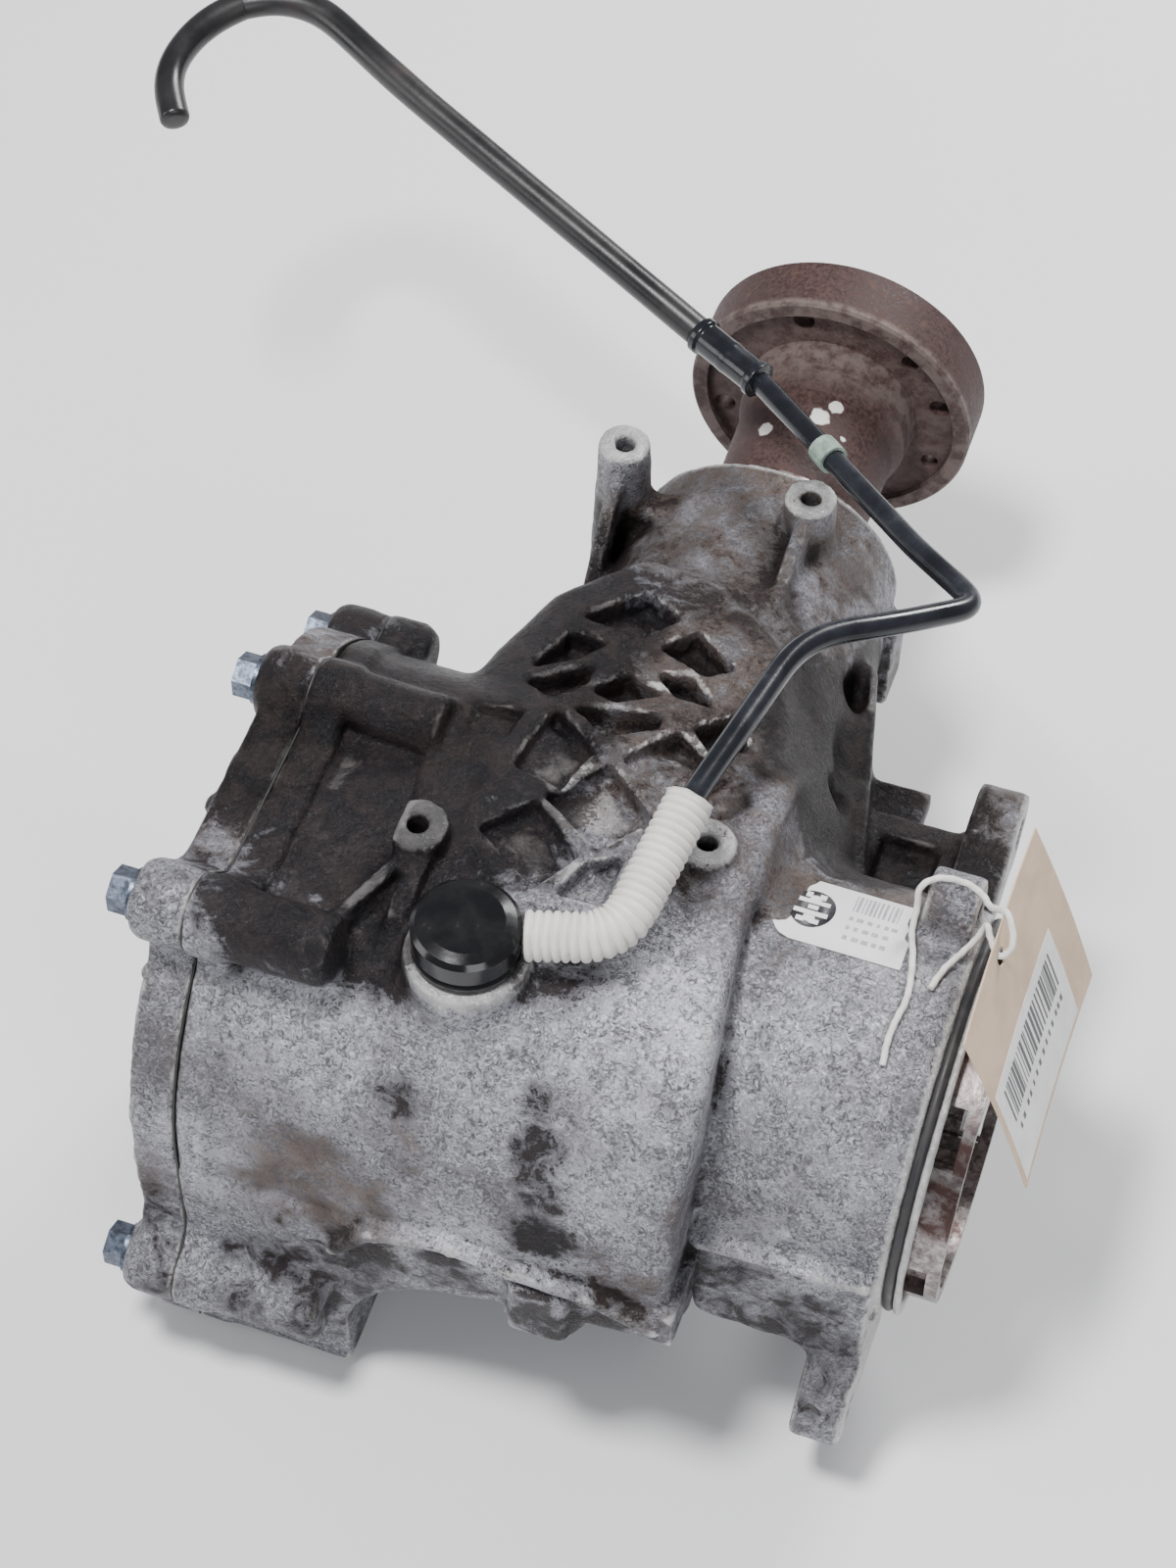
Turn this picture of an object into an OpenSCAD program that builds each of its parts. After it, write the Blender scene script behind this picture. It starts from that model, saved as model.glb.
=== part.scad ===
// Bevel transfer gearbox: a crown wheel on a hollow cross shaft drives a pinion and its output flange.
// Origin: where the cross shaft's axis (X) meets the pinion's axis (Y). +X points out of the end that
// bolts to the main gearbox, +Y out of the output flange, +Z up.

/* [Gear pair] */
// Teeth on the crown wheel
crown_teeth = 38; // [34:1:42]
// Teeth on the pinion
pinion_teeth = 15; // [14:1:17]
// Pitch radius of the crown wheel at its outer edge
crown_pitch_r = 72; // [70:0.5:72]
// Width of the tooth face along the pitch cone
face_w = 24; // [18:1:26]
// Mean spiral angle
spiral = 30; // [0:5:35]
// Gap at each flank, measured at the outer edge
flank_gap = 0.17; // [0.15:0.01:0.25]

/* [Casing] */
// Outer radius of the crown wheel barrel
barrel_r = 96; // [95:0.5:98]
// Height of the flattened top of that barrel
top_z = 80; // [79:0.5:82]
// Casing wall
wall = 4.5; // [4:0.5:5]
// Outer radius of the smaller barrel at the gearbox end
small_r = 67; // [66:0.5:70]
// Plane of the side cover's joint
joint_x = -105; // [-106:0.5:-104]
// Plane of the face that bolts to the gearbox
face_x = 118; // [116:0.5:120]
// Outer radius of the pinion nose
nose_r = 48; // [46:0.5:50]
// End of the pinion nose
nose_y = 205; // [203:0.5:207]

/* [Shafts and flange] */
// Radius of the hole right through the cross shaft
shaft_bore_r = 15; // [12:0.5:17]
// Outer diameter of the output flange
flange_d = 108; // [106:1:112]
// Bolt circle of the output flange
flange_pcd = 86; // [84:0.5:87]
// Front face of the output flange
flange_y = 304; // [302:0.5:306]
// Outer radius of the splined hub at the gearbox end
hub_r = 59; // [57:0.5:59.5]
// Radial running clearance of the seals
seal_gap = 0.08; // [0.04:0.01:0.1]

/* [Breather] */
// Centre of the breather cap, along X
cap_x = -24; // [-25:0.5:-22]
// Centre of the breather cap, along Y
cap_y = -46; // [-48:0.5:-44]
// Top of the machined boss under the cap
cap_seat_z = 88; // [86:0.5:90]
// Outer radius of the lower hose
hose_r = 4; // [3.5:0.25:4.25]
// Outer radius of the upper pipe
pipe_r = 5.5; // [5:0.25:6]
// Outer radius of the ribbed sheath
sheath_r = 8; // [7:0.5:8.5]

/* [Hidden] */
$fn = 64;
eps = 0.01;
gasket_t = 0.6;

alloy = "lightgrey";
steel = "slategray";
bright = "silver";
rust = "saddlebrown";
black = [0.08, 0.08, 0.09];

// Bearing sizes: inner radius, outer radius, width, roller diameter, number of rollers
cross_bearing = [27.5, 45, 24, 7.6, 20];
head_bearing = [20, 42, 24, 9.4, 16];
tail_bearing = [17, 36, 22, 8.2, 15];
taper = 13;
race_gap = 0.35;
left_bearing_x = -104;
right_bearing_x = 32;
head_bearing_y = 78;
tail_bearing_y = 150;

// Casing places
cavity_r = barrel_r - wall - 3.5;
cavity_end_x = 44;
barrel_end_x = 50;
band_x = -93;
cover_x = -122;
spigot_r = 66;
spigot_end_x = 127;
wall_y = -97;
small_wall_y = -70;
lug_x = 101;

// Cover bolts, as [y, z, end of the boss behind the joint]
cover_bolt_spots = [
    [36, 78, -61], [-62, 90, -60], [-101, -66, -55], [92, 34, -88], [72, -70, -88], [-12, -100, -88]
];
dowel_spots = [[67.5, 63.3], [-88, -44]];
dowel_r = 3.2;
cover_hole_r = 4.2;

// Lugs round the gearbox face, as [y, z, boss radius]
face_lugs = [[33, 66, 12], [108, 10, 14], [-73, -74, 14], [58, -74, 13]];
lug_hole_r = 5.5;

// Bracket bosses on top, as [x, y, top, bottom, boss radius]
bracket_bosses = [[-50, 184, 65, -6, 9], [18, 182, 65, 34, 9], [-54, -8, 90, 70, 10], [32, 19, 84, 70, 9]];
tap_r = 3.4;
tap_depth = 12;

// Crown wheel bolts
crown_bolts = 8;
crown_bolt_ring = 44;

// Fill and drain plugs, as [x, y, z, tilt about X of the outward direction from +Z]
plug_spots = [[-70, 66, -71.5, 223], [-36, -30, -95.5, 180]];
plug_r = 9;
plug_depth = 16;

// Output flange holes: four bolt holes, and four smaller puller holes between them
flange_hole_r = 4.1;
flange_hole_at = 18;
puller_hole_r = 3.4;
puller_angles = [50, 158, 230, 338];

// ---------- cylinders and plates along the axes ----------

module xcyl(x0, x1, r) translate([x0, 0, 0]) rotate([0, 90, 0]) cylinder(h = x1 - x0, r = r);
module xcone(x0, x1, ra, rb) translate([x0, 0, 0]) rotate([0, 90, 0]) cylinder(h = x1 - x0, r1 = ra, r2 = rb);
module ycyl(y0, y1, r) translate([0, y0, 0]) rotate([-90, 0, 0]) cylinder(h = y1 - y0, r = r);
module ycone(y0, y1, ra, rb) translate([0, y0, 0]) rotate([-90, 0, 0]) cylinder(h = y1 - y0, r1 = ra, r2 = rb);

// An outline drawn in Y and Z, given thickness along X
module xplate(x0, x1) translate([x0, 0, 0]) rotate([90, 0, 90]) linear_extrude(x1 - x0) children();

// An outline drawn in X and Z, given thickness along Y
module yplate(y0, y1) translate([0, y1, 0]) rotate([90, 0, 0]) linear_extrude(y1 - y0) children();

// A profile of [radius, distance] turned about X or about Y
module xturn(profile) rotate([0, 90, 0]) rotate_extrude($fn = 96) polygon(profile);
module yturn(profile) rotate([-90, 0, 0]) rotate_extrude($fn = 96) polygon(profile);

// A hexagon head standing on its own base
module hex(across, h) cylinder(h = h, r = across / 2 / cos(30), $fn = 6);

// A rod along X whose axis passes through the point [y, z]
module xrod(x0, x1, r, at) translate([x0, at[0], at[1]]) rotate([0, 90, 0]) cylinder(h = x1 - x0, r = r);

// A plug's own frame, with +Z out of the casing
module plug_frame(h) translate([h[0], h[1], h[2]]) rotate([h[3], 0, 0]) children();

// A tongue that runs from the axis out to a round boss, drawn in Y and Z
module tongue(y, z, r, foot = 1.5) {
    d = norm([y, z]);
    rotate(atan2(z, y)) {
        translate([d, 0]) circle(r = r);
        polygon([[0, -r * foot], [d, -r], [d, r], [0, r * foot]]);
    }
}

// ---------- spiral bevel gears ----------

crown_cone = atan(crown_teeth / pinion_teeth);
pinion_cone = 90 - crown_cone;
cone_len = crown_pitch_r / sin(crown_cone);
gear_module = 2 * crown_pitch_r / crown_teeth;
pressure = 22.5;
sections = 5;
section_at = [for (i = [0 : sections - 1]) cone_len - face_w * i / (sections - 1)];
mean_len = cone_len - face_w / 2;

function inv_deg(a) = tan(a) * 180 / PI - a;

// Half thickness of a tooth, in degrees on the developed back cone, at slant radius rho
function half_tooth(rho, rv, zv, gap) =
    let (rb = rv * cos(pressure), a = rho > rb ? acos(rb / rho) : 0)
    90 / zv + inv_deg(pressure) - inv_deg(a) - gap / rv * 180 / PI;

// One tooth at cone distance s, as [slant radius, angle] from its left root to its right root
function tooth_outline(s, teeth, cone) =
    let (
        k = s / cone_len,
        m = gear_module * k,
        rv = s * tan(cone),
        zv = teeth / cos(cone),
        root = rv - 1.22 * m,
        tip = rv + 0.95 * m,
        steps = [root + 0.25 * m, rv - 0.45 * m, rv + 0.25 * m, tip],
        left = [for (r = steps) [r, -half_tooth(r, rv, zv, flank_gap * k)]],
        right = [for (i = [3 : -1 : 0]) [steps[i], half_tooth(steps[i], rv, zv, flank_gap * k)]],
        base = half_tooth(steps[0], rv, zv, flank_gap * k)
    )
    concat([[root, -base - 0.12 * m / rv * 180 / PI]], left, right,
        [[root, base + 0.12 * m / rv * 180 / PI]]);

// Angle by which the teeth lead at cone distance s
function lead(s, cone) = tan(spiral) * ln(s / mean_len) / sin(crown_cone) * 180 / PI;

// All points of one section, as [axial, radial, angle]
function section(s, teeth, cone, phase, twist) = [
    for (t = [0 : teeth - 1])
        for (q = tooth_outline(s, teeth, cone))
            [s / cos(cone) - q[0] * sin(cone), q[0] * cos(cone),
             360 * (t + phase) / teeth + q[1] / cos(cone) + twist]
];

function ring_faces(n, rings) = [
    for (j = [0 : rings - 2])
        for (i = [0 : n - 1])
            for (half = [0, 1])
                half == 0
                    ? [j * n + i, j * n + (i + 1) % n, (j + 1) * n + i]
                    : [j * n + (i + 1) % n, (j + 1) * n + (i + 1) % n, (j + 1) * n + i]
];
function cap_faces(n, first, centre, flip) = [
    for (i = [0 : n - 1])
        flip ? [centre, first + (i + 1) % n, first + i] : [centre, first + i, first + (i + 1) % n]
];

module gear_solid(points, n, centres) {
    count = len(points);
    polyhedron(
        points = concat(points, centres),
        faces = concat(
            ring_faces(n, sections),
            cap_faces(n, 0, count, true),
            cap_faces(n, (sections - 1) * n, count + 1, false)
        ),
        convexity = 10
    );
}

module crown_teeth_solid() {
    rings = [for (s = section_at) each section(s, crown_teeth, crown_cone, 0, lead(s, crown_cone))];
    world = [for (q = rings) [-q[0], q[1] * cos(q[2]), -q[1] * sin(q[2])]];
    gear_solid(world, crown_teeth * 10, [[-48, 0, 0], [-30, 0, 0]]);
}

module pinion_teeth_solid() {
    ratio = crown_teeth / pinion_teeth;
    rings = [
        for (s = section_at)
            each section(s, pinion_teeth, pinion_cone, 0.5, -ratio * lead(s, crown_cone))
    ];
    world = [for (q = rings) [-q[1] * cos(q[2]), q[0], q[1] * sin(q[2])]];
    gear_solid(world, pinion_teeth * 10, [[0, 76.3, 0], [0, 50, 0]]);
}

// ---------- taper roller bearings, drawn along Z from 0 to their width ----------

function race_mid(b, z) = (b[0] + b[1]) / 2 + (z - b[2] / 2) * tan(taper);
function race_half(b) = b[3] / 2 / cos(taper) + race_gap;

module cup(b) rotate_extrude($fn = 96) polygon([
    [race_mid(b, 2) + race_half(b), 2], [b[1], 2], [b[1], b[2]], [race_mid(b, b[2]) + race_half(b), b[2]]
]);

module cone_race(b) rotate_extrude($fn = 96) polygon([
    [b[0], 0], [race_mid(b, 0) - race_half(b) + 1.2, 0], [race_mid(b, 2.2) - race_half(b) + 0.6, 2.2],
    [race_mid(b, 2.2) - race_half(b), 2.2], [race_mid(b, b[2] - 4) - race_half(b), b[2] - 4],
    [race_mid(b, b[2] - 3.6) - race_half(b) + 2.4, b[2] - 3.6],
    [race_mid(b, b[2] - 3.6) - race_half(b) + 2.4, b[2] - 1], [b[0], b[2] - 1]
]);

module rollers(b) for (i = [0 : b[4] - 1]) rotate(360 * i / b[4])
    translate([race_mid(b, b[2] / 2), 0, b[2] / 2]) rotate([0, taper, 0])
        cylinder(h = b[2] - 9.5, r = b[3] / 2, center = true, $fn = 24);

module cage(b) {
    inner = b[3] / 2 - 2.2;
    for (end = [[2.5, 3.7], [b[2] - 3.4, b[2] - 2.4]])
        rotate_extrude($fn = 96) polygon([
            [race_mid(b, end[0]) - inner * 0.2, end[0]], [race_mid(b, end[0]) + inner, end[0]],
            [race_mid(b, end[1]) + inner, end[1]], [race_mid(b, end[1]) - inner * 0.2, end[1]]
        ]);
    bar = (PI * (b[0] + b[1]) / b[4] - b[3]) * 0.42;
    for (i = [0 : b[4] - 1]) rotate(360 * (i + 0.5) / b[4])
        translate([race_mid(b, b[2] / 2) + inner * 0.4, 0, b[2] / 2]) rotate([0, taper, 0])
            cube([inner * 0.9, bar, b[2] - 6.2], center = true);
}

module at_left_bearing() translate([left_bearing_x + cross_bearing[2], 0, 0]) rotate([0, -90, 0]) children();
module at_right_bearing() translate([right_bearing_x, 0, 0]) rotate([0, 90, 0]) children();
module at_head_bearing() translate([0, head_bearing_y + head_bearing[2], 0]) rotate([90, 0, 0]) children();
module at_tail_bearing() translate([0, tail_bearing_y, 0]) rotate([-90, 0, 0]) children();

// ---------- casing ----------

// Outline of the crown wheel barrel, flattened on top
module barrel_outline(r, top) intersection() {
    circle(r = r, $fn = 128);
    translate([-r, -r]) square([2 * r, r + top]);
}

// Foot of the casting at the cover's end, drawn in Y and Z
module foot_outline() translate([wall_y, -108]) square([18, 98]);

module cover_outline() {
    barrel_outline(barrel_r + 1, top_z);
    foot_outline();
    for (b = cover_bolt_spots) tongue(b[0], b[1], 12.5);
}

// Front wall below the parting line, drawn in X and Z, with its arched notch
module front_wall_outline() polygon(concat(
    [[joint_x, -10], [joint_x, -108], [-50, -108]],
    [for (a = [180 : -10 : 95]) [50 * cos(a), -85 + 50 * sin(a)]],
    [[5, -31], [5, -38], [30, -38], [34, -27], [62, -25], [62, -10]]
));

module housing_outside() {
    xplate(joint_x, barrel_end_x) barrel_outline(barrel_r - 1, top_z);
    xplate(joint_x, band_x) cover_outline();
    intersection() {
        xcone(barrel_end_x - 3, barrel_end_x + 8, barrel_r - 4, small_r + 4);
        translate([0, -barrel_r, -barrel_r]) cube([70, 2 * barrel_r, barrel_r + top_z]);
    }
    xcyl(barrel_end_x, face_x, small_r);
    xcyl(face_x - eps, spigot_end_x, spigot_r);
    ycone(46, 150, 79, 54);
    ycone(150 - eps, nose_y - 10, 54, nose_r);
    ycyl(nose_y - 10 - eps, nose_y, nose_r);
    // Lower walls, drafted straight down from the casting's parting line
    yplate(wall_y, wall_y + 50) front_wall_outline();
    yplate(small_wall_y, small_wall_y + 40) polygon([
        [barrel_end_x, 3], [face_x, 3], [face_x, -66], [face_x - 8, -62], [face_x - 12, -50], [62, -48],
        [58, -26], [barrel_end_x, -26]
    ]);
    translate([8, wall_y - 4, -38]) cube([20, 12, 28]);
    // Long bosses behind the cover's joint
    for (b = cover_bolt_spots) xplate(joint_x, b[2]) tongue(b[0], b[1], 11.5, 1.2);
    // Lugs round the gearbox face
    for (g = face_lugs) xplate(lug_x, face_x) tongue(g[0], g[1], g[2], 1.3);
    // Web from the rear lug back to the nose
    xplate(66, lug_x + eps) polygon([[40, -24], [108, -14], [108, 2], [70, 14], [40, 20]]);
    translate([44, 96, -16]) cube([40, 30, 12]);
    // Bracket bosses and their ribs
    for (p = bracket_bosses) translate([p[0], p[1], p[3]]) cylinder(h = p[2] - p[3], r = p[4]);
    translate([-52, 178, -6]) cube([20, 12, 44]);
    translate([-53, 0, 0]) xplate(0, 6) polygon([[116, -6], [184, -6], [184, 58], [178, 58]]);
    translate([15, 0, 0]) xplate(0, 6) polygon([[140, 30], [180, 30], [180, 60], [174, 60], [140, 54]]);
    translate([-57, 0, 0]) xplate(0, 6) polygon([[-52, 60], [-8, 60], [-8, 86], [-14, 86]]);
    // Flat seats of the two plugs
    for (h = plug_spots) plug_frame(h) translate([0, 0, -14]) cylinder(h = 14, r = 14);
    // Seat of the breather
    translate([cap_x, cap_y, 60]) cylinder(h = cap_seat_z - 60, r = 19.5);
    // Small side lugs of the nose
    translate([44, 178, -34]) cube([10, 20, 34]);
    translate([-68, 112, -6]) rotate([0, 90, 0]) cylinder(h = 30, r = 9);
    // Diagonal stiffening ribs on the flat top
    intersection() {
        translate([-40, -2, top_z - 4]) cube([56, 56, 8.5]);
        union() for (i = [-3 : 3]) {
            translate([-12, 26, top_z]) rotate(52) translate([0, 20 * i, 0]) cube([120, 5, 9], center = true);
            translate([-12, 26, top_z]) rotate(-42) translate([0, 20 * i, 0]) cube([120, 5, 9], center = true);
        }
    }
}

module housing_hollow() {
    xplate(joint_x - 1, cavity_end_x) barrel_outline(cavity_r, top_z - wall);
    xcyl(barrel_end_x + 12, spigot_end_x + 1, hub_r + 2);
    ycyl(80, 150, 33);
}

module main_housing() color(alloy) difference() {
    union() {
        difference() {
            housing_outside();
            housing_hollow();
        }
        xcyl(right_bearing_x - 2, barrel_end_x + 12, 52);
        intersection() {
            ycyl(77, 112, 50);
            xcyl(-60, 60, barrel_r);
        }
        ycyl(112 - eps, 152, 38);
        // Thicker wall under the right bracket boss
        translate([bracket_bosses[3][0], bracket_bosses[3][1], 69]) cylinder(h = 9, r = bracket_bosses[3][4]);
    }
    // Seats of the bearings and seals
    xcyl(right_bearing_x - 3, right_bearing_x + cross_bearing[2], cross_bearing[1]);
    xcyl(right_bearing_x, barrel_end_x + 13, 40);
    ycyl(76, head_bearing_y + head_bearing[2] + 1, head_bearing[1]);
    ycyl(76, 160, 31);
    ycyl(tail_bearing_y, nose_y + 1, tail_bearing[1]);
    // Spigot groove
    xturn([[62.4, 120.9], [70, 120.9], [70, 124.5], [62.4, 124.5]]);
    for (b = cover_bolt_spots) translate([joint_x - 1, b[0], b[1]]) rotate([0, 90, 0]) cylinder(h = 15, r = tap_r);
    for (d = dowel_spots) translate([joint_x - 1, d[0], d[1]]) rotate([0, 90, 0]) cylinder(h = 9, r = dowel_r);
    for (g = face_lugs) translate([lug_x - 60, g[0], g[1]]) rotate([0, 90, 0])
        cylinder(h = face_x - lug_x + 70, r = lug_hole_r);
    for (p = bracket_bosses) translate([p[0], p[1], p[2] - tap_depth]) cylinder(h = tap_depth + 1, r = tap_r);
    translate([cap_x, cap_y, 60]) cylinder(h = 40, r = 5);
    for (h = plug_spots) plug_frame(h) translate([0, 0, -plug_depth]) cylinder(h = plug_depth + 1, r = plug_r);
}

module side_cover() color(alloy) difference() {
    union() {
        difference() {
            xplate(cover_x + 1, joint_x - gasket_t) cover_outline();
            xplate(joint_x - 8, joint_x + 1) barrel_outline(cavity_r - 6, top_z - 14);
        }
        for (b = cover_bolt_spots) xrod(cover_x - 2, cover_x + 10, 11.5, b);
        xcyl(cover_x - 3, left_bearing_x + cross_bearing[2], 53);
        for (a = [20 : 40 : 340]) rotate([a, 0, 0]) translate([cover_x - 2, 50, -3]) cube([5, 38, 6]);
    }
    xcyl(cover_x - 4, left_bearing_x + cross_bearing[2] + 1, 36);
    xcyl(left_bearing_x, left_bearing_x + cross_bearing[2] + 1, cross_bearing[1]);
    for (b = cover_bolt_spots) xrod(cover_x - 5, joint_x + 1, cover_hole_r, b);
    for (d = dowel_spots) xrod(joint_x - 8, joint_x + 1, dowel_r, d);
}

module cover_gasket() color("dimgray") xplate(joint_x - gasket_t, joint_x) difference() {
    cover_outline();
    barrel_outline(cavity_r, top_z - wall);
    for (b = cover_bolt_spots) translate([b[0], b[1]]) circle(r = cover_hole_r);
    for (d = dowel_spots) translate(d) circle(r = dowel_r);
}

module cover_bolts() color(steel) for (b = cover_bolt_spots) {
    translate([cover_x - 2, b[0], b[1]]) rotate([0, -90, 0]) {
        cylinder(h = 1.6, r = 8.5);
        hex(13, 8.5);
    }
    xrod(cover_x - 2, joint_x, cover_hole_r - 0.2, b);
    xrod(joint_x - eps, joint_x + 12, tap_r, b);
}

module dowel_pins() color(bright) for (d = dowel_spots) xrod(joint_x - 8, joint_x + 8, dowel_r, d);

// Shaft seal: a cased ring whose lip stands a running clearance off the shaft
module seal(outer, shaft, w) rotate_extrude($fn = 96) polygon([
    [shaft + seal_gap, w * 0.35], [shaft + seal_gap, w * 0.6], [shaft + 2.6, w * 0.6],
    [shaft + 2.6, w - 1.2], [outer - 1.4, w - 1.2], [outer - 1.4, w], [outer, w], [outer, 0],
    [shaft + 3, 0], [shaft + 1, 0.4]
]);

module left_shaft_seal() color(black) translate([cover_x - 3, 0, 0]) rotate([0, 90, 0]) seal(36, 24, 11);
module input_seal() color(black) translate([barrel_end_x + 12, 0, 0]) rotate([0, -90, 0]) seal(40, 26, 6);
module pinion_oil_seal() color(black) translate([0, nose_y, 0]) rotate([90, 0, 0]) seal(tail_bearing[1], 25, 11);

module spigot_o_ring() color(black) rotate([0, 90, 0]) rotate_extrude($fn = 96)
    translate([64.1, 122.7]) circle(r = 1.7, $fn = 24);

module plug() {
    translate([0, 0, 2]) cylinder(h = 1.8, r = 13);
    translate([0, 0, 2]) hex(19, 9);
    translate([0, 0, -plug_depth + 3]) cylinder(h = plug_depth - 0.8, r = plug_r);
}
module fill_plug() color(steel) plug_frame(plug_spots[0]) plug();
module drain_plug() color(steel) plug_frame(plug_spots[1]) plug();
module plug_washers() color("peru") for (h = plug_spots) plug_frame(h) difference() {
    cylinder(h = 2, r = 13);
    translate([0, 0, -1]) cylinder(h = 4, r = plug_r);
}

module left_bearing_cup() color(bright) at_left_bearing() cup(cross_bearing);
module right_bearing_cup() color(bright) at_right_bearing() cup(cross_bearing);
module head_bearing_cup() color(bright) at_head_bearing() cup(head_bearing);
module tail_bearing_cup() color(bright) at_tail_bearing() cup(tail_bearing);
module left_bearing_cone() color(bright) at_left_bearing() cone_race(cross_bearing);
module right_bearing_cone() color(bright) at_right_bearing() cone_race(cross_bearing);
module head_bearing_cone() color(bright) at_head_bearing() cone_race(head_bearing);
module tail_bearing_cone() color(bright) at_tail_bearing() cone_race(tail_bearing);
module left_bearing_rollers() color(bright) at_left_bearing() rollers(cross_bearing);
module right_bearing_rollers() color(bright) at_right_bearing() rollers(cross_bearing);
module head_bearing_rollers() color(bright) at_head_bearing() rollers(head_bearing);
module tail_bearing_rollers() color(bright) at_tail_bearing() rollers(tail_bearing);
module left_bearing_cage() color("goldenrod") at_left_bearing() cage(cross_bearing);
module right_bearing_cage() color("goldenrod") at_right_bearing() cage(cross_bearing);
module head_bearing_cage() color("goldenrod") at_head_bearing() cage(head_bearing);
module tail_bearing_cage() color("goldenrod") at_tail_bearing() cage(tail_bearing);

module pinion_shim() color(steel) yturn([[34, 102], [41.9, 102], [41.9, 103], [34, 103]]);

// ---------- cross shaft group ----------

module input_shaft() color(steel) difference() {
    xturn([
        [shaft_bore_r, cover_x - 3], [24, cover_x - 3], [24, -108], [27.5, -104.8], [27.5, -80], [31, -79],
        [31, -58], [52, -58], [52, -48], [36, -48], [36, -38], [30, -36], [30, 28], [31, 29], [31, 31],
        [27.5, 32], [27.5, 55], [26, 56], [26, face_x - 4], [24.5, face_x - 2], [shaft_bore_r, face_x - 2]
    ]);
    for (i = [0 : crown_bolts - 1]) rotate([360 * i / crown_bolts, 0, 0])
        translate([-60, crown_bolt_ring, 0]) rotate([0, 90, 0]) cylinder(h = 14, r = 4.2);
}

// Hub that joins the gearbox: a web on the shaft and a drum with windows and inner splines
spline_count = 32;
module input_hub() color(steel) difference() {
    union() {
        xturn([
            [26, 66], [hub_r, 66], [hub_r, 137], [54, 137], [54, 74], [35, 74], [35, 100], [26, 100]
        ]);
        xplate(98, 133) difference() {
            circle(r = 54 + eps);
            polygon([
                for (i = [0 : spline_count - 1])
                    for (q = [[-0.3, 53.5], [-0.16, 51], [0.16, 51], [0.3, 53.5]])
                        q[1] * [cos(360 * (i + q[0]) / spline_count), sin(360 * (i + q[0]) / spline_count)]
            ]);
        }
    }
    for (i = [0 : 5]) rotate([60 * i + 8, 0, 0]) translate([126, 40, -10]) cube([7, 30, 20]);
}

module hub_snap_ring() color(bright) difference() {
    xcyl(100, 102.5, 30);
    xcyl(99, 104, 26);
    translate([99, 20, -3]) cube([5, 12, 6]);
}

module crown_wheel() color(steel) difference() {
    union() {
        crown_teeth_solid();
        xcyl(-48, -31, 64);
    }
    xcyl(-70, 0, 36);
    translate([-70, -90, -90]) cube([22, 180, 180]);
    for (i = [0 : crown_bolts - 1]) rotate([360 * i / crown_bolts, 0, 0])
        translate([-50, crown_bolt_ring, 0]) rotate([0, 90, 0]) cylinder(h = 14, r = tap_r);
}

module crown_wheel_bolts() color(steel) for (i = [0 : crown_bolts - 1]) rotate([360 * i / crown_bolts, 0, 0])
    translate([-58, crown_bolt_ring, 0]) rotate([0, 90, 0]) {
        rotate([0, 180, 0]) hex(13, 6);
        cylinder(h = 10, r = 4);
        translate([0, 0, 10 - eps]) cylinder(h = 11, r = tap_r);
    }

// ---------- pinion group ----------

module pinion_shaft() color(steel) {
    pinion_teeth_solid();
    rotate([0, 7, 0]) yturn([
        [0, 54], [14, 54], [14, 73], [24, 74.6], [24, 78], [20, 78.5], [20, 102], [17, 103],
        [17, 171.4], [15, 172.2], [15, 262], [10, 264], [10, 288], [8.5, 290], [0, 290]
    ]);
}

module collapsible_spacer() color(bright) yturn([
    [17, 104], [22, 104], [22, 118], [25, 124], [25, 130], [22, 136], [22, 149.6], [17, 149.6]
]);

module output_flange() color(rust) difference() {
    yturn([
        [15, 172.4], [25, 172.4], [25, nose_y + 2.6], [28, nose_y + 5.6], [29.5, 262], [32, 270], [33, 283],
        [48, 283], [48, 280], [flange_d / 2 - 1, 280], [flange_d / 2, 281], [flange_d / 2, flange_y - 1.5],
        [flange_d / 2 - 1.5, flange_y], [48, flange_y], [46, flange_y - 3], [46, flange_y - 10],
        [20, flange_y - 10], [20, 264], [15, 264]
    ]);
    for (i = [0 : 3]) rotate([0, -flange_hole_at - 90 * i, 0])
        translate([flange_pcd / 2, 0, 0]) ycyl(278, flange_y + 1, flange_hole_r);
    for (a = puller_angles) rotate([0, -a, 0])
        translate([flange_pcd / 2, 0, 0]) ycyl(278, flange_y + 1, puller_hole_r);
}

module dust_deflector() color(steel) yturn([
    [25, 206.2], [41, 206.2], [43, 208], [43, 209.2], [40.6, 207.4], [25, 207.4]
]);

module flange_nut() color(steel) difference() {
    union() {
        ycyl(264, 266, 18.5);
        translate([0, 266, 0]) rotate([-90, 0, 0]) hex(30, 14);
    }
    ycyl(263, 281, 10);
}

// ---------- breather line ----------

function bez(p, q, r, t) = p * (1 - t) * (1 - t) + q * 2 * t * (1 - t) + r * t * t;

// A round path through the points, with each corner rounded over the distance given in bends
function rounded(points, bends, steps = 6) = concat(
    [points[0]],
    [
        for (i = [1 : len(points) - 2])
            let (
                a = points[i - 1] - points[i],
                b = points[i + 1] - points[i],
                p = points[i] + a / norm(a) * bends[i - 1],
                q = points[i] + b / norm(b) * bends[i - 1]
            )
            for (k = [0 : steps]) bez(p, points[i], q, k / steps)
    ],
    [points[len(points) - 1]]
);

function unit(v) = v / norm(v);

// A frame's side vector carried along the path so that the tube doesn't twist
function carry(path, i, side) =
    let (
        d = unit(path[min(i + 1, len(path) - 1)] - path[max(i - 1, 0)]),
        s = unit(side - d * (side * d))
    )
    i == len(path) - 1 ? [[d, s]] : concat([[d, s]], carry(path, i + 1, s));

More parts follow.
